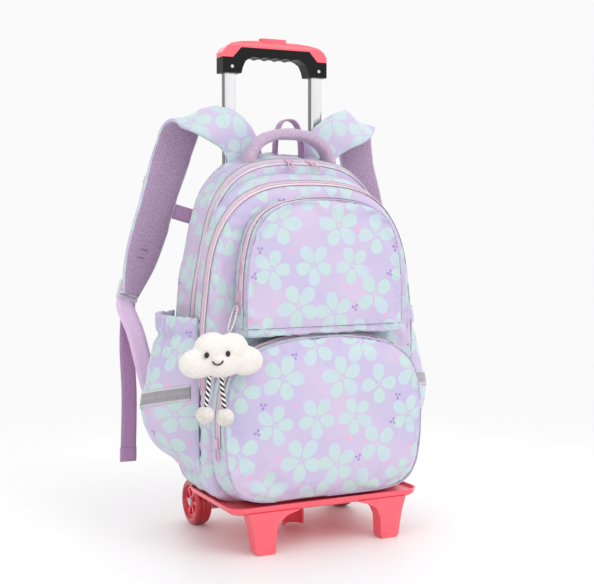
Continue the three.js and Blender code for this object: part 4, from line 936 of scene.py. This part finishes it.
def zip_piece(name):
    """The zip tape with its coil and the dark seams at its edges."""
    form, given = forms[name], FORMS[name]
    low = given["zip_low"] * given["height"]
    keep = np.where(form.flat[:, 1] > low)[0]
    y = given["zip"]
    skin = Skin()
    lines = [form.ring(y - ZIP_HALF, offset=0.9)[keep], form.ring(y + ZIP_HALF, offset=0.9)[keep]]
    inner = [form.ring(y - ZIP_HALF, offset=-1.5)[keep], form.ring(y + ZIP_HALF, offset=-1.5)[keep]]
    middle_out = (lines[0] + lines[1]) / 2
    strip_along(skin, lines, inner, lengths(middle_out))
    for shift in (-COIL_RADIUS, COIL_RADIUS):
        lift = middle_out - (inner[0] + inner[1]) / 2
        lift /= np.linalg.norm(lift, axis=1)[:, None]
        line = middle_out + lift * 0.35 + np.array([0, shift, 0])
        tube_along(skin, line, COIL_RADIUS, 8, 1)
    for edge, shift in ((lines[0], -0.5), (lines[1], 0.5)):
        tube_along(skin, edge + np.array([0, shift, 0]), SEAM_RADIUS, 6, 2)
    piece = skin.build(f"{name}_zip_tape", [tape_cloth, coil_plastic, seam_cloth])
    put(piece, "bag", "zip_tape", given["zip_node"])


for name in FORMS:
    zip_piece(name)


def piping(name):
    """The covered cord sewn into a compartment's front seam, and the dark seam line behind it."""
    form, given = forms[name], FORMS[name]
    if given["pipe"] is None:
        return
    y, size, lift = given["pipe"]
    keep = form.flat[:, 1] >= given["pipe_low"]
    closed = bool(keep.all())
    skin = Skin()
    for at, radius, kind in ((y, PIPING_RADIUS, 0), (y + PIPING_RADIUS * 1.5, SEAM_RADIUS, 1)):
        line = form.ring(at, size, lift, offset=0.5)[keep]
        tube_along(skin, line, radius, 8, kind, closed)
    piece = skin.build(f"{name}_piping", [piping_cloth, seam_cloth])
    put(piece, "bag", "print")


for name in FORMS:
    piping(name)


def upper_foot_seam():
    """The seam across the upper pocket's front, a little above its foot, and the tabs that end its zip."""
    given = FORMS["upper"]
    height_at = cloth_height(given)
    z = given["floor"] + given["pipe_low"]
    edge_y, size, _ = given["rows"][0]
    half = given["half"] * size
    up = (given["height"] / 2 - given["pipe_low"]) / (given["height"] / 2)
    line = []
    for x in np.linspace(-half, half, 60):
        share = max(up, abs(x) / half)
        y = given["front"] + edge_y - swell(given, share)
        p = np.array([x, y, z])
        line.append(p - np.array([0, height_at(p), 0]))
    skin = Skin()
    tube_along(skin, np.array(line), SEAM_RADIUS, 6, 0)
    put(skin.build("upper_foot_seam", [seam_cloth]), "bag", "print")
    for side, sign in (("left", -1), ("right", 1)):
        x = sign * (given["half"] + 1.6)
        y = given["front"] + given["zip"]
        top = given["floor"] + given["zip_low"] * given["height"] + 3
        path = np.array([(x, y, top - 26 * t) for t in np.linspace(0, 1, 12)])
        tab = Skin()
        profile = [(-1, -0.6), (-0.8, -1), (0.8, -1), (1, -0.6), (1, 0.6), (0.8, 1), (-0.8, 1), (-1, 0.6)]
        swept_band(tab, path, np.tile([0.0, 1.0, 0.0], (12, 1)), np.full(12, 7.2), profile, [0] * 8, 1.0, 0.9)
        put(tab.build(f"zip_end_tab_{side}", [print_cloth]), "bag", "print")


# Side pockets

def side_x(z):
    """Half the width of the bag at height z."""
    best = 0.0
    for name in ("main", "middle"):
        ring = forms[name].ring(30)
        right = ring[(ring[:, 0] > 0)]
        order = np.argsort(right[:, 2])
        best = max(best, float(np.interp(z, right[order, 2], right[order, 0])))
    return best


POCKET_FLOOR, POCKET_HEIGHT, POCKET_BULGE, POCKET_FRONT, POCKET_BACK = 92, 191, 56, 62, 149
# How far the pocket stands out: the share of its height, and that of its bulge
POCKET_ROWS = [(0, 0.04), (0.052, 0.19), (0.147, 0.6), (0.257, 0.86), (0.419, 1), (0.602, 0.88), (0.89, 0.54),
               (1, 0.47)]
pocket_table = curve_points([(rise, bulge, 0) for rise, bulge in POCKET_ROWS], 60)


def pocket_point(rise, share, sign, out=0.0):
    """A point on a side pocket's outside: rise is from floor to hem, share from front to back, 0 to 1."""
    z = POCKET_FLOOR + rise * POCKET_HEIGHT
    bulge = float(np.interp(rise, pocket_table[:, 0], pocket_table[:, 1]))
    shape = max(0.0, math.sin(math.pi * share ** 1.15)) ** 0.55
    near_hem = max(0.0, (rise - 0.6) / 0.4)
    wander = 1.4 * ripple((share * 100, 0, 0), (16, 9, 9), 5.5)
    gather = math.sin(share * 74 + wander * 2) * 2.1 * near_hem ** 1.4
    flare = 9 * max(0.0, (rise - 0.86) / 0.14) ** 1.3 * share
    nip = -3.2 * math.exp(-((rise - 0.875) / 0.03) ** 2)
    x = side_x(z) + bulge * POCKET_BULGE * shape + 2.0 + out + (gather + flare + nip) * shape
    z += (math.sin(share * 74 + 1.3 + wander * 2) * 1.1 + 3 * share) * max(0.0, (rise - 0.9) / 0.1)
    y = POCKET_FRONT + share * (POCKET_BACK - POCKET_FRONT)
    p = np.array([x, y, z])
    folds = 2.6 * ripple(p, (40, 26, 60), 4.4) + 2.2 * (0.5 - fold(p, (60, 34, 30), 7.7))
    folds += 1.2 * math.sin(share * 26 + rise * 3) * max(0.0, rise - 0.45)
    x += folds * min(1.0, 5 * shape) * (1 - 0.6 * max(0.0, rise - 0.9) * 10)
    return np.array([sign * x, y, z])


POCKET_ACROSS, POCKET_UP = 120, 72
STRIP_HEIGHT, STRIP_FALL, STRIP_LEVELS = 193, 24, [-9.5, -7.6, -7.2, 7.2, 7.6, 9.5]
STRIP_KINDS = [0 if i == 2 else 1 for i in range(12)]


def side_pocket(side, sign):
    skin = Skin()
    shares = np.linspace(0, 1, POCKET_ACROSS)
    last = None
    for k in range(POCKET_UP + 1):
        rise = k / POCKET_UP
        hem = 1.4 if rise > 0.895 else 0.0
        outer = [pocket_point(rise, s, sign, hem) for s in shares]
        inner = [p - np.array([sign * (2.0 + hem), 0, 0]) for p in outer]
        ring = skin.ring(outer + inner[::-1])
        count = 2 * POCKET_ACROSS
        cloth = [(0.09 + 0.13 * i / POCKET_ACROSS, rise * 0.2) for i in range(count + 1)]
        if last is not None:
            skin.band(last[0], ring, 0, last[1], cloth)
        last = (ring, cloth)
        if k == 0:
            first = (ring, cloth)
    # The rims join the outside to the inside
    for (start, _), flip in ((first[0], False), (last[0], True)):
        for i in range(POCKET_ACROSS - 1):
            a, b = start + i, start + i + 1
            c, d = start + count - 2 - i, start + count - 1 - i
            face = (a, b, c, d) if flip else (d, c, b, a)
            skin.faces.append(face)
            skin.cloth += [(0.1, 0.1)] * 4
            skin.kinds.append(0)
    piece = skin.build(f"side_pocket_{side}_cloth", [print_cloth])
    put(piece, "bag", "print", f"side_pocket_{side}")


def reflective_strip(side, sign):
    """Grey tape with lighter edges round the pocket, lower at the back."""
    strip = Skin()
    last = None
    for share in np.linspace(0.02, 0.98, POCKET_ACROSS):
        middle = STRIP_HEIGHT - STRIP_FALL * share
        rises = [(middle + level - POCKET_FLOOR) / POCKET_HEIGHT for level in STRIP_LEVELS]
        outer = [pocket_point(rise, share, sign, 1.3) for rise in rises]
        inner = [p - np.array([sign * 0.9, 0, 0]) for p in outer]
        ring = strip.ring(outer + inner[::-1])
        cloth = [(share * 0.1, i * 0.002) for i in range(13)]
        if last is not None:
            strip.band(last[0], ring, STRIP_KINDS, last[1], cloth)
        else:
            strip.fan(ring, np.mean(outer, 0), 1, cloth, (0, 0), outwards=False)
        last = (ring, cloth)
    strip.fan(last[0], np.mean(outer, 0), 1, last[1], (0, 0))
    tape = strip.build(f"reflective_tape_{side}", [reflective_cloth, reflective_edge])
    put(tape, "bag", "reflective", f"reflective_strip_{side}")


for side, sign in (("left", -1), ("right", 1)):
    side_pocket(side, sign)
    reflective_strip(side, sign)


# Straps

STRAP_WIDTH, STRAP_THICKNESS, STRAP_REACH, STRAP_SETBACK, STRAP_BACK_REACH = 52, 11, 188, 144.5, 62
STRAP_FOOT, STRAP_RISE = 304, 238
# out, back and up as shares of the strap's reach, back reach and rise, its width as a share, and the slant of
# its cross direction back and up
STRAP_ROWS = [
    (0.255, 0, 0.68, 0.98, 0, 0.1), (0.261, 0, 0.75, 0.98, 0, 0.12), (0.309, 0, 0.838, 1, 0, 0.36),
    (0.378, 0, 0.893, 1, -0.08, 0.42), (0.463, 0.05, 0.928, 1, -0.3, 0.45),
    (0.543, 0.21, 0.953, 1, -0.36, 0.42), (0.596, 0.54, 0.958, 1, -0.12, 0.36),
    (0.633, 0.8, 0.893, 1, 0, 0.25), (0.668, 0.92, 0.8, 1, 0.12, 0.16), (0.734, 0.97, 0.63, 1, 0.2, 0.16),
    (0.809, 0.98, 0.445, 1, 0.2, 0.18), (0.894, 0.96, 0.235, 0.96, 0.2, 0.22),
    (0.963, 0.93, 0.075, 0.76, 0.2, 0.24), (0.992, 0.91, 0, 0.42, 0.2, 0.24),
]
STRAP_STEPS, CAD_STEPS = 96, 16
LOCK_HEIGHT, LOCK_THICKNESS, WEBBING_WIDTH, WEBBING_THICKNESS = 24, 5, 25, 1.6
PANEL_BACK = PANEL_FRONT + PANEL_THICKNESS
# The webbing's turns: out from the middle, share of the back reach, and drop below the strap's foot
WEBBING_TURNS = [(180, 0.94, 50), (164, 0.6, 130)]
WEBBING_END = (-135, PANEL_BACK + WEBBING_THICKNESS, BAG_FLOOR + 0.115 * BAG_HEIGHT)
TAIL_FOOT = 84
FLAT = [(-1, -1), (-0.5, -1), (0, -1), (0.5, -1), (1, -1), (1, 1), (0.5, 1), (0, 1), (-0.5, 1), (-1, 1)]


def strap_sections(lean, steps):
    """The strap's middle line in mm, its cross directions and its widths as shares."""
    places = []
    for i, (out, back, up, _, _, _) in enumerate(STRAP_ROWS):
        hang = lean * math.sin(math.pi * i / (len(STRAP_ROWS) - 1))
        places.append((-out * STRAP_REACH - hang, STRAP_SETBACK + back * STRAP_BACK_REACH,
                       STRAP_FOOT + up * STRAP_RISE))
    centres = curve_points(places, steps + 1)
    across = curve_points([(1, row[4], row[5]) for row in STRAP_ROWS], steps + 1)
    wide = curve_points([(row[3], 0, 0) for row in STRAP_ROWS], steps + 1)[:, 0]
    return centres, np.array([unit(a) for a in across]), wide


def pad_profile(points_across=9, edge=0.35):
    """A padded band whose faces swell between its edges. Its outer face and edges are kind 0, its inner 1."""
    top = [(u, edge + (1 - edge) * (1 - abs(u) ** 3.5)) for u in np.linspace(-0.93, 0.93, points_across)]
    bottom = [(-u, -v) for u, v in top]
    right = [(1.0, edge * 0.7), (1.0, -edge * 0.7)]
    left = [(-1.0, -edge * 0.7), (-1.0, edge * 0.7)]
    kinds = [0] * (points_across + 2) + [1] * (points_across - 1) + [0] * 3
    return top + right + bottom + left, kinds


# Stitches on a strap: the share along it, and their span across it in half widths
BARTACKS = [(0.835, (-0.3, 0.12)), (0.87, (-0.36, 0.06))]


def strap_patch(centres, across, halves, share, span, face_sign, height, mirror):
    """A small flat piece sewn on a strap: share along it, span across it in half widths, and its face."""
    i = int(share * (len(centres) - 1))
    along = unit(centres[i + 1] - centres[i - 1])
    side = unit(across[i] - along * np.dot(across[i], along))
    face = np.cross(side, along) * face_sign
    middle = centres[i] + side * halves[i] * (span[0] + span[1]) / 2 + face * STRAP_THICKNESS * 0.5
    path = np.array([middle + along * height * t for t in np.linspace(-0.5, 0.5, 5)])
    half = halves[i] * (span[1] - span[0]) / 2
    profile = [(-1, -1), (1, -1), (1, 1), (-1, 1)]
    skin = Skin()
    swept_band(skin, path, np.tile(side, (5, 1)), np.full(5, half), profile, [0] * 4, mirror, 0.7)
    return skin


CHEST_STRAP_ABOVE_FOOT, CHEST_STRAP_GAP = 141, 1.2
CHEST_STRAP_WIDTH, CHEST_STRAP_LENGTH = 20, 24


def strap_pad(side, mirror, centres, across, halves):
    """The padded part with its stitches and reflective patch."""
    profile, kinds = pad_profile()
    skin = Skin()
    swept_band(skin, centres, across, halves, profile, kinds, mirror, STRAP_THICKNESS / 2)
    piece = skin.build(f"shoulder_strap_{side}_pad", [print_cloth, mesh_cloth])
    displace(piece, lambda p: 0.9 * ripple(p, (30, 30, 30), 6.1) + 0.5 * fold(p, (16, 40, 18), 2.6))
    put(piece, "bag", "print", f"shoulder_strap_{side}")
    for share, span in BARTACKS:
        stitch = strap_patch(centres, across, halves, share, span, -1, 0.9, mirror)
        put(stitch.build(f"bartack_{side}_{int(share * 1000)}", [seam_cloth]), "bag", "mesh")
    patch = strap_patch(centres, across, halves, 0.6, (-0.97, -0.8), 1, 9, mirror)
    put(patch.build(f"strap_reflector_{side}", [reflective_cloth]), "bag", "reflective")


def flat_band(name, path, across, half, thick, made, mirror, *nodes):
    """Webbing along a path, as a piece of its own."""
    skin = Skin()
    swept_band(skin, path, across, np.full(len(path), half), FLAT, [0] * len(FLAT), mirror, thick)
    put(skin.build(name, [made]), "bag", "webbing", *nodes)


def strap_webbing(side, mirror, foot, along, foot_side):
    """The webbing from the adjuster to the bag, and the loose tail with its folded end."""
    face = unit(np.cross(foot_side, along))
    if face[1] < 0:
        face = -face
    thick = WEBBING_THICKNESS / 2
    lock_top = foot - along * LOCK_HEIGHT * 0.7 + face * (STRAP_THICKNESS / 2 + LOCK_THICKNESS / 2 + 0.45)
    turns = [(-out, STRAP_SETBACK + STRAP_BACK_REACH * back, STRAP_FOOT - drop)
             for out, back, drop in WEBBING_TURNS]
    start = lock_top + along * (LOCK_HEIGHT - 7)
    path = curve_points([start, lock_top + along * (LOCK_HEIGHT * 1.26), *turns, WEBBING_END], 60)
    across = np.array([unit((1 - t) * foot_side + t * np.array([1.0, 0, 0])) for t in np.linspace(0, 1, 60)])
    flat_band(f"strap_webbing_{side}_band", path, across, WEBBING_WIDTH / 2, thick, webbing_cloth, mirror,
              f"strap_webbing_{side}")

    x, y, z = lock_top + along * (LOCK_HEIGHT - 2) + np.array([4, WEBBING_THICKNESS + 2.9, 0])
    path = curve_points([(x, y, z), (x - 2.5, y + 1, z - 60), (x - 1, y - 2, z - 125),
                         (x - 4.5, y - 6, TAIL_FOOT)], 60)
    across = np.array([unit(np.array([1, 0.35 - 0.2 * t, 0.12])) for t in np.linspace(0, 1, 60)])
    # The tail is in the darker copy of the webbing, which is painted shade.
    flat_band(f"strap_tail_{side}_band", path, across, WEBBING_WIDTH * 0.44, thick, webbing_painted_shade, mirror,
              f"strap_tail_{side}")
    flat_band(f"strap_tail_{side}_hem", path[-5:], across[-5:], WEBBING_WIDTH * 0.45, thick + 0.9, webbing_painted_shade,
              mirror)


def chest_strap(side, mirror, centres, across, wide):
    """The short webbing on the strap's inner edge, at the section where the CAD source puts it."""
    step = STRAP_STEPS // CAD_STEPS
    low = STRAP_FOOT + CHEST_STRAP_ABOVE_FOOT
    lower_half = range((CAD_STEPS // 2 + 1) * step, STRAP_STEPS, step)
    host = next(i for i in lower_half if centres[i][2] < low)
    along = unit(centres[host + 1] - centres[host - 1])
    host_side = unit(across[host] - along * np.dot(across[host], along))
    root = centres[host] + host_side * (wide[host] * STRAP_WIDTH / 2 + CHEST_STRAP_GAP)
    away = unit(host_side * 0.88 + np.array([0, -0.47, 0]))
    path = np.array([root + away * CHEST_STRAP_LENGTH * t for t in np.linspace(0, 1, 9)])
    flat_band(f"chest_strap_{side}_band", path, np.tile(-along, (9, 1)), CHEST_STRAP_WIDTH / 2,
              WEBBING_THICKNESS / 2, webbing_painted_shade, mirror, f"chest_strap_{side}")


def strap_set(side, lean):
    """One shoulder strap with all that is sewn to it. lean moves its middle out, in mm."""
    mirror = 1.0 if side == "left" else -1.0
    sections, across, wide = strap_sections(lean, STRAP_STEPS)
    centres = even(sections, STRAP_STEPS + 1)
    strap_pad(side, mirror, centres, across, wide * STRAP_WIDTH / 2)
    along = unit(centres[-1] - centres[-2])
    foot_side = unit(across[-1] - along * np.dot(across[-1], along))
    strap_webbing(side, mirror, centres[-1], along, foot_side)
    chest_strap(side, mirror, sections, across, wide)


upper_foot_seam()
strap_set("left", 0)
strap_set("right", 24)


# Carry handle and hang loop

def arch(half_span, top, floor, centre_x, centre_y, steps, squareness):
    """Points of an arch across the bag. A lower squareness makes its shoulders squarer."""
    points = []
    for i in range(steps + 1):
        turn = math.pi * (1 - i / steps)
        c, s = math.cos(turn), max(0.0, math.sin(turn))
        points.append((centre_x + math.copysign(abs(c) ** squareness, c) * half_span, centre_y,
                       floor + s ** squareness * (top - floor)))
    return even(np.array(points), steps + 1)


def arch_band(name, points, half_depth, half_thick, profile, made, slot, node):
    """A band along an arch, all of one material."""
    skin = Skin()
    kinds = [0] * len(profile)
    across = np.tile([0.0, 1.0, 0.0], (len(points), 1))
    swept_band(skin, points, across, np.full(len(points), half_depth), profile, kinds, 1.0, half_thick)
    return put(skin.build(name, [made]), "bag", slot, node)


HANDLE = {"half_span": 58, "top": 512, "floor": BAG_FLOOR + BAG_HEIGHT * 0.955, "centre_x": 0,
          "centre_y": 112, "steps": 60, "squareness": 0.85}
HANG_LOOP = {"half_span": 19, "top": 532, "floor": BAG_FLOOR + BAG_HEIGHT * 0.985, "centre_x": 8,
             "centre_y": 132.5, "steps": 40, "squareness": 0.75}
handle_profile, _ = pad_profile(11, 0.5)
handle = arch_band("carry_handle_pad", arch(**HANDLE), 13, 7, handle_profile, heather_cloth, "heather",
                   "carry_handle")
displace(handle, lambda p: 0.7 * ripple(p, (18, 18, 18), 2.5) + 0.5 * fold(p, (12, 30, 12), 1.3))
thin = [(-1, -1), (-0.4, -1), (0.4, -1), (1, -1), (1, 1), (0.4, 1), (-0.4, 1), (-1, 1)]
arch_band("hang_loop_band", arch(**HANG_LOOP), 7, 1, thin, webbing_painted_shade, "webbing", "hang_loop")


# Back panel

CHANNEL_HALF, CHANNEL_SPACING, CHANNEL_START = 30, 82, 70
PANEL_SIZE = 0.975


def panel_ring(share):
    """A ring of the panel's back, with an upright channel at its middle and others across it."""
    points = forms["main"].ring(FORMS["main"]["depth"], PANEL_SIZE, 1.0, share=share)
    for p in points:
        upright = min(abs(p[0]), CHANNEL_HALF) / CHANNEL_HALF
        cross = abs(math.sin(math.pi * (p[2] - CHANNEL_START) / CHANNEL_SPACING))
        lift = PANEL_THICKNESS * (1 - share ** 12)
        lift *= 0.55 + 0.45 * min(1.0, cross ** 0.5) * upright ** 0.4
        p[1] = PANEL_FRONT + min(PANEL_THICKNESS - 0.1, lift)
    return points


def back_panel():
    """Air mesh over padding with sewn channels."""
    skin = Skin()
    shares = list(np.linspace(0.06, 0.9, 20)) + [0.93, 0.955, 0.97]
    last = front_face(skin, [panel_ring(share) for share in shares])
    points = forms["main"].ring(FORMS["main"]["depth"], PANEL_SIZE, 1.0, share=0.965)
    points[:, 1] = PANEL_FRONT - 0.2
    ring = skin.ring(points)
    skin.band(last[0], ring, 0, last[1], front_cloth(points))
    centre = points.mean(0)
    skin.fan(ring, centre, 0, front_cloth(points), (0, 0))
    piece = skin.build("back_panel_pad", [mesh_cloth])
    put(piece, "bag", "mesh", "back_panel")


back_panel()


# Cloud charm

CLOUD = (-150.0, -18.0, 247.0)
CLOUD_WIDTH, CLOUD_HEIGHT, CLOUD_DEPTH = 104, 54, 30
EYES = {"left": (-23.5, 249.5), "right": (2.5, 249.8)}
EYE_RADII, SMILE_RADIUS, SMILE_PLACE = (2.9, 1.8, 3.5), 7, (-10.5, 245)
# A lobe's place out and up, its half width, height and depth, as shares of half the cloud's
CLOUD_LOBES = [(-0.56, -0.3, 0.44, 0.64, 0.86), (0.58, -0.3, 0.42, 0.64, 0.86), (-0.22, 0.3, 0.42, 0.7, 0.96),
               (0.24, 0.24, 0.4, 0.7, 0.94), (0, -0.22, 0.6, 0.74, 1)]


def apply_modifiers(piece):
    """Replaces a piece's mesh by what its modifiers make of it."""
    graph = bpy.context.evaluated_depsgraph_get()
    mesh = bpy.data.meshes.new_from_object(piece.evaluated_get(graph))
    piece.modifiers.clear()
    piece.data = mesh
    mesh.polygons.foreach_set("use_smooth", [True] * len(mesh.polygons))


def local_cloth(piece):
    """Gives a mesh cloth coordinates straight from its own places."""
    mesh = piece.data
    co = coordinates(mesh)
    corners = np.zeros(len(mesh.loops), np.int32)
    mesh.loops.foreach_get("vertex_index", corners)
    layer = mesh.attributes.new("cloth", "FLOAT_VECTOR", "CORNER")
    layer.data.foreach_set("vector", (co[corners][:, [0, 2, 1]]).astype(np.float32).ravel())


def ball(name, centre, radii, made, detail=4):
    """A ball as an object of its own."""
    bpy.ops.mesh.primitive_ico_sphere_add(subdivisions=detail, radius=1.0)
    piece = bpy.context.object
    piece.name = name
    for v in piece.data.vertices:
        v.co = place(*(np.array(centre) + np.array(v.co) * np.array(radii)))
    piece.data.materials.append(made)
    piece.data.polygons.foreach_set("use_smooth", [True] * len(piece.data.polygons))
    return piece


def cloud_charm():
    """The plush cloud, lobes fused and roughened, with two dot eyes and an arc of a smile."""
    lobes = [ball(f"lobe_{i}", (CLOUD[0] + out * CLOUD_WIDTH / 2, CLOUD[1], CLOUD[2] + up * CLOUD_HEIGHT / 2),
                  (wide * CLOUD_WIDTH / 2, deep * CLOUD_DEPTH / 2, tall * CLOUD_HEIGHT / 2), plush)
             for i, (out, up, wide, tall, deep) in enumerate(CLOUD_LOBES)]
    for lobe in bpy.context.selected_objects:
        lobe.select_set(False)
    for lobe in lobes:
        lobe.select_set(True)
    bpy.context.view_layer.objects.active = lobes[0]
    bpy.ops.object.join()
    piece = bpy.context.object
    piece.name = "charm_cloud_plush"
    modifier(piece, "REMESH", mode="VOXEL", voxel_size=0.0016)
    modifier(piece, "SMOOTH", factor=0.6, iterations=8)
    apply_modifiers(piece)
    displace(piece, lambda p: 0.45 * ripple(p, (2.4, 2.4, 2.4), 1.7) + 0.5 * ripple(p, (7, 7, 7), 9.1)
             + 0.25 * ripple(p, (1.3, 1.3, 1.3), 4.2))
    local_cloth(piece)
    put(piece, "bag", "plush", "charm_cloud")

    front = CLOUD[1] - CLOUD_DEPTH / 2
    for side, (out, z) in EYES.items():
        eye = ball(f"charm_eye_{side}", (CLOUD[0] + out, front + 0.9, z), EYE_RADII, ink, 3)
        put(eye, "bag", "plush")
    turns = np.linspace(math.pi * 1.12, math.pi * 1.88, 20)
    smile = np.array([(CLOUD[0] + SMILE_PLACE[0] + SMILE_RADIUS * math.cos(t), front - 0.1,
                       SMILE_PLACE[1] + SMILE_RADIUS * math.sin(t)) for t in turns])
    skin = Skin()
    tube_along(skin, smile, 0.95, 10, 0)
    put(skin.build("charm_smile", [ink]), "bag", "plush")


cloud_charm()

LEGS = {
    "left": [(-165, -18, 226), (-166.5, -19.5, 213), (-168, -18.5, 200), (-168.5, -16.5, 189)],
    "right": [(-150, -19, 225), (-150.5, -20.5, 211), (-149.5, -22, 198), (-148.5, -22, 186)],
}
LEG_DIAMETER, POMPOM_RADIUS = 5.0, 10.4


def pompom(side, centre):
    """A ball of short yarn ends: small cones of locks fused to a head."""
    piece = ball(f"pompom_{side}_yarn", centre, (POMPOM_RADIUS,) * 3, plush, 6)
    middle = np.array(centre)

    def lock(p):
        d = unit(p - middle)
        tuft = 1.0 - 2.4 * fold(d * 9, (1, 1, 1), 3.0)
        return 0.9 * tuft + 0.45 * ripple(d * 24, (1, 1, 1), 7.0) - 0.5

    displace(piece, lock)
    local_cloth(piece)
    return put(piece, "bag", "plush", f"pompom_{side}")


for side, route in LEGS.items():
    line = curve_points(route, 25)
    skin = Skin()
    tube_along(skin, line, LEG_DIAMETER / 2, 16, 0)
    leg = skin.build(f"charm_leg_{side}_cord", [cord_cloth])
    put(leg, "bag", "cord", f"charm_leg_{side}")
    tip = line[-1] + unit(line[-1] - line[-2]) * (POMPOM_RADIUS + 0.3)
    yarn = pompom(side, tip)


CHAIN_TOP, CHAIN_HALF = (-115.6, 19.5, 300.0), 4.5
BEAD_SPACING, BEAD_RADIUS, BEAD_STEPS, LINK_RADIUS = 3.6, 1.55, 8, 0.5
# The loop's route: share of the way down, and share of half its width
CHAIN_LOOP = [(0, 0), (0.12, 0.8), (0.5, 1), (0.88, 0.8), (1, 0), (0.88, -0.8), (0.5, -1), (0.12, -0.8)]


def ball_chain():
    """The chain's beads on the CAD's long loop, finer than the solid."""
    top = np.array(CHAIN_TOP)
    foot = np.array([CLOUD[0] + 11, CLOUD[1] + 2, CLOUD[2] + CLOUD_HEIGHT / 2 - 1])
    across = unit(np.array([0.8, 0, 0.6]))
    loop = [top + (foot - top) * t + across * s * CHAIN_HALF for t, s in CHAIN_LOOP]
    dense = curve_points(loop, 400, closed=True)
    run = lengths(np.vstack([dense, dense[:1]]))[-1] * 1000
    total = int(round(run / BEAD_SPACING)) * BEAD_STEPS
    line = even(dense, total, closed=True)
    places = [2 * (i % BEAD_STEPS) / BEAD_STEPS - 1 for i in range(total)]
    radii = [max(LINK_RADIUS, BEAD_RADIUS * math.sqrt(max(0.0, 1 - at ** 2))) for at in places]
    skin = Skin()
    tube_along(skin, line, radii, 12, 0, True)
    put(skin.build("charm_chain_beads", [chain_metal]), "bag", "steel", "charm_chain")


ball_chain()


# Wheels

WHEEL_SETBACK, WHEEL_RADIUS, WHEEL_OUT = 172, 30, 107.5
TYRE_INSIDE, TYRE_HALF, TYRE_SHOULDER, TYRE_SEGMENTS = 21.0, 11.0, 5.5, 72


def tyre(side, x):
    """A tyre turned from its section."""
    skin = Skin()
    rings = []
    section = tyre_section(WHEEL_RADIUS, TYRE_INSIDE, TYRE_HALF)
    for k in range(TYRE_SEGMENTS):
        c, s = math.cos(2 * math.pi * k / TYRE_SEGMENTS), math.sin(2 * math.pi * k / TYRE_SEGMENTS)
        rings.append(skin.ring([(x + along, WHEEL_SETBACK + r * c, WHEEL_RADIUS + r * s)
                                for along, r in section]))
    cloth = [(0, 0)] * (len(section) + 1)
    for k in range(TYRE_SEGMENTS):
        skin.band(rings[k], rings[(k + 1) % TYRE_SEGMENTS], 0, cloth, cloth)
    put(skin.build(f"tyre_{side}_soft", [tyre_red]), f"wheel_{side}", "tyre", f"tyre_{side}")


def tyre_section(outside, inside, half):
    """A tyre's section with round shoulders and a shallow tread groove on each side."""
    points = [(-half * 0.8, inside), (half * 0.8, inside), (half * 0.97, inside + 1.6)]
    for t in np.linspace(0, 1, 9):
        a = t * math.pi / 2
        points.append((half * (0.62 + 0.38 * math.cos(a)), outside - TYRE_SHOULDER * (1 - math.sin(a))))
    points += [(4.2, outside), (3.6, outside - 0.7), (2.8, outside - 0.7), (2.2, outside)]
    right = points[2:]
    return points[:2] + right + [(-x, r) for x, r in right[::-1]]


tyre("left", -WHEEL_OUT)
tyre("right", WHEEL_OUT)


# Finishes on the CAD pieces

SHARP_ANGLE = 30


def finish_node(node, made, bevel, segments=2):
    """Gives a CAD node its material and rounds its edges by bevel, in mm."""
    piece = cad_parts[node]
    piece.data.materials.clear()
    piece.data.materials.append(made)
    modifier(piece, "BEVEL", width=bevel / 1000, segments=segments, limit_method="ANGLE",
             angle_limit=math.radians(SHARP_ANGLE), harden_normals=True, use_clamp_overlap=True)
    piece.data.polygons.foreach_set("use_smooth", [True] * len(piece.data.polygons))
    modifier(piece, "WEIGHTED_NORMAL", keep_sharp=True)


for node in ("grip_cover", "release_button"):
    finish_node(node, coral, 0.9, 3)
finish_node("base_tray", coral, 0.8, 3)
finish_node("centre_stay", coral, 0.5)
finish_node("grip_core", black_plastic, 0.6)
finish_node("tray_clip", black_plastic, 0.5)
for side in ("left", "right"):
    for stage in ("inner", "middle", "outer"):
        finish_node(f"{stage}_tube_{side}", tube_metal, 0.4, 3)
    finish_node(f"grip_screw_{side}", steel, 0.3)
    finish_node(f"axle_{side}", cap_grey, 0.4)
    finish_node(f"wheel_hub_{side}", hub_red, 0.4)
    finish_node(f"strap_adjuster_{side}", clear_plastic, 0.8, 3)
    finish_node(f"chest_buckle_{side}", clear_plastic, 0.8)
for zip_end in ("main_left", "main_right", "middle", "upper_low", "upper_high", "lower"):
    finish_node(f"slider_{zip_end}", pull_pink, 0.45)


# Floor

def floor_paper():
    """White paper that turns into the even backdrop away from the bag."""
    made = material("floor_paper")
    where = object_coordinates()
    finish_material((236, 236, 236), noise_texture(where, 40.0), 0.02, Roughness=0.5, Specular_IOR_Level=0.3)
    x, y, _ = parts_of(where)
    far = smoothstep(Node.maths("SQRT", x * x + y * y), 0.34, 0.95)
    glow = Node.tree.nodes.new("ShaderNodeEmission")
    glow.inputs["Strength"].default_value = BACKDROP
    blend = Node.tree.nodes.new("ShaderNodeMixShader")
    Node.feed(blend.inputs[0], far)
    Node.tree.links.new(Node.tree.nodes["Principled BSDF"].outputs[0], blend.inputs[1])
    Node.tree.links.new(glow.outputs[0], blend.inputs[2])
    Node.tree.links.new(blend.outputs[0], Node.tree.nodes["Material Output"].inputs["Surface"])
    return made


FLOOR_REACH = 30.0
corners = [(-FLOOR_REACH, -FLOOR_REACH, 0), (FLOOR_REACH, -FLOOR_REACH, 0), (FLOOR_REACH, FLOOR_REACH, 0),
           (-FLOOR_REACH, FLOOR_REACH, 0)]
sheet = bpy.data.meshes.new("floor")
sheet.from_pydata(corners, [], [(0, 1, 2, 3)])
sheet.materials.append(floor_paper())
floor = bpy.data.objects.new("floor", sheet)
bpy.context.scene.collection.objects.link(floor)
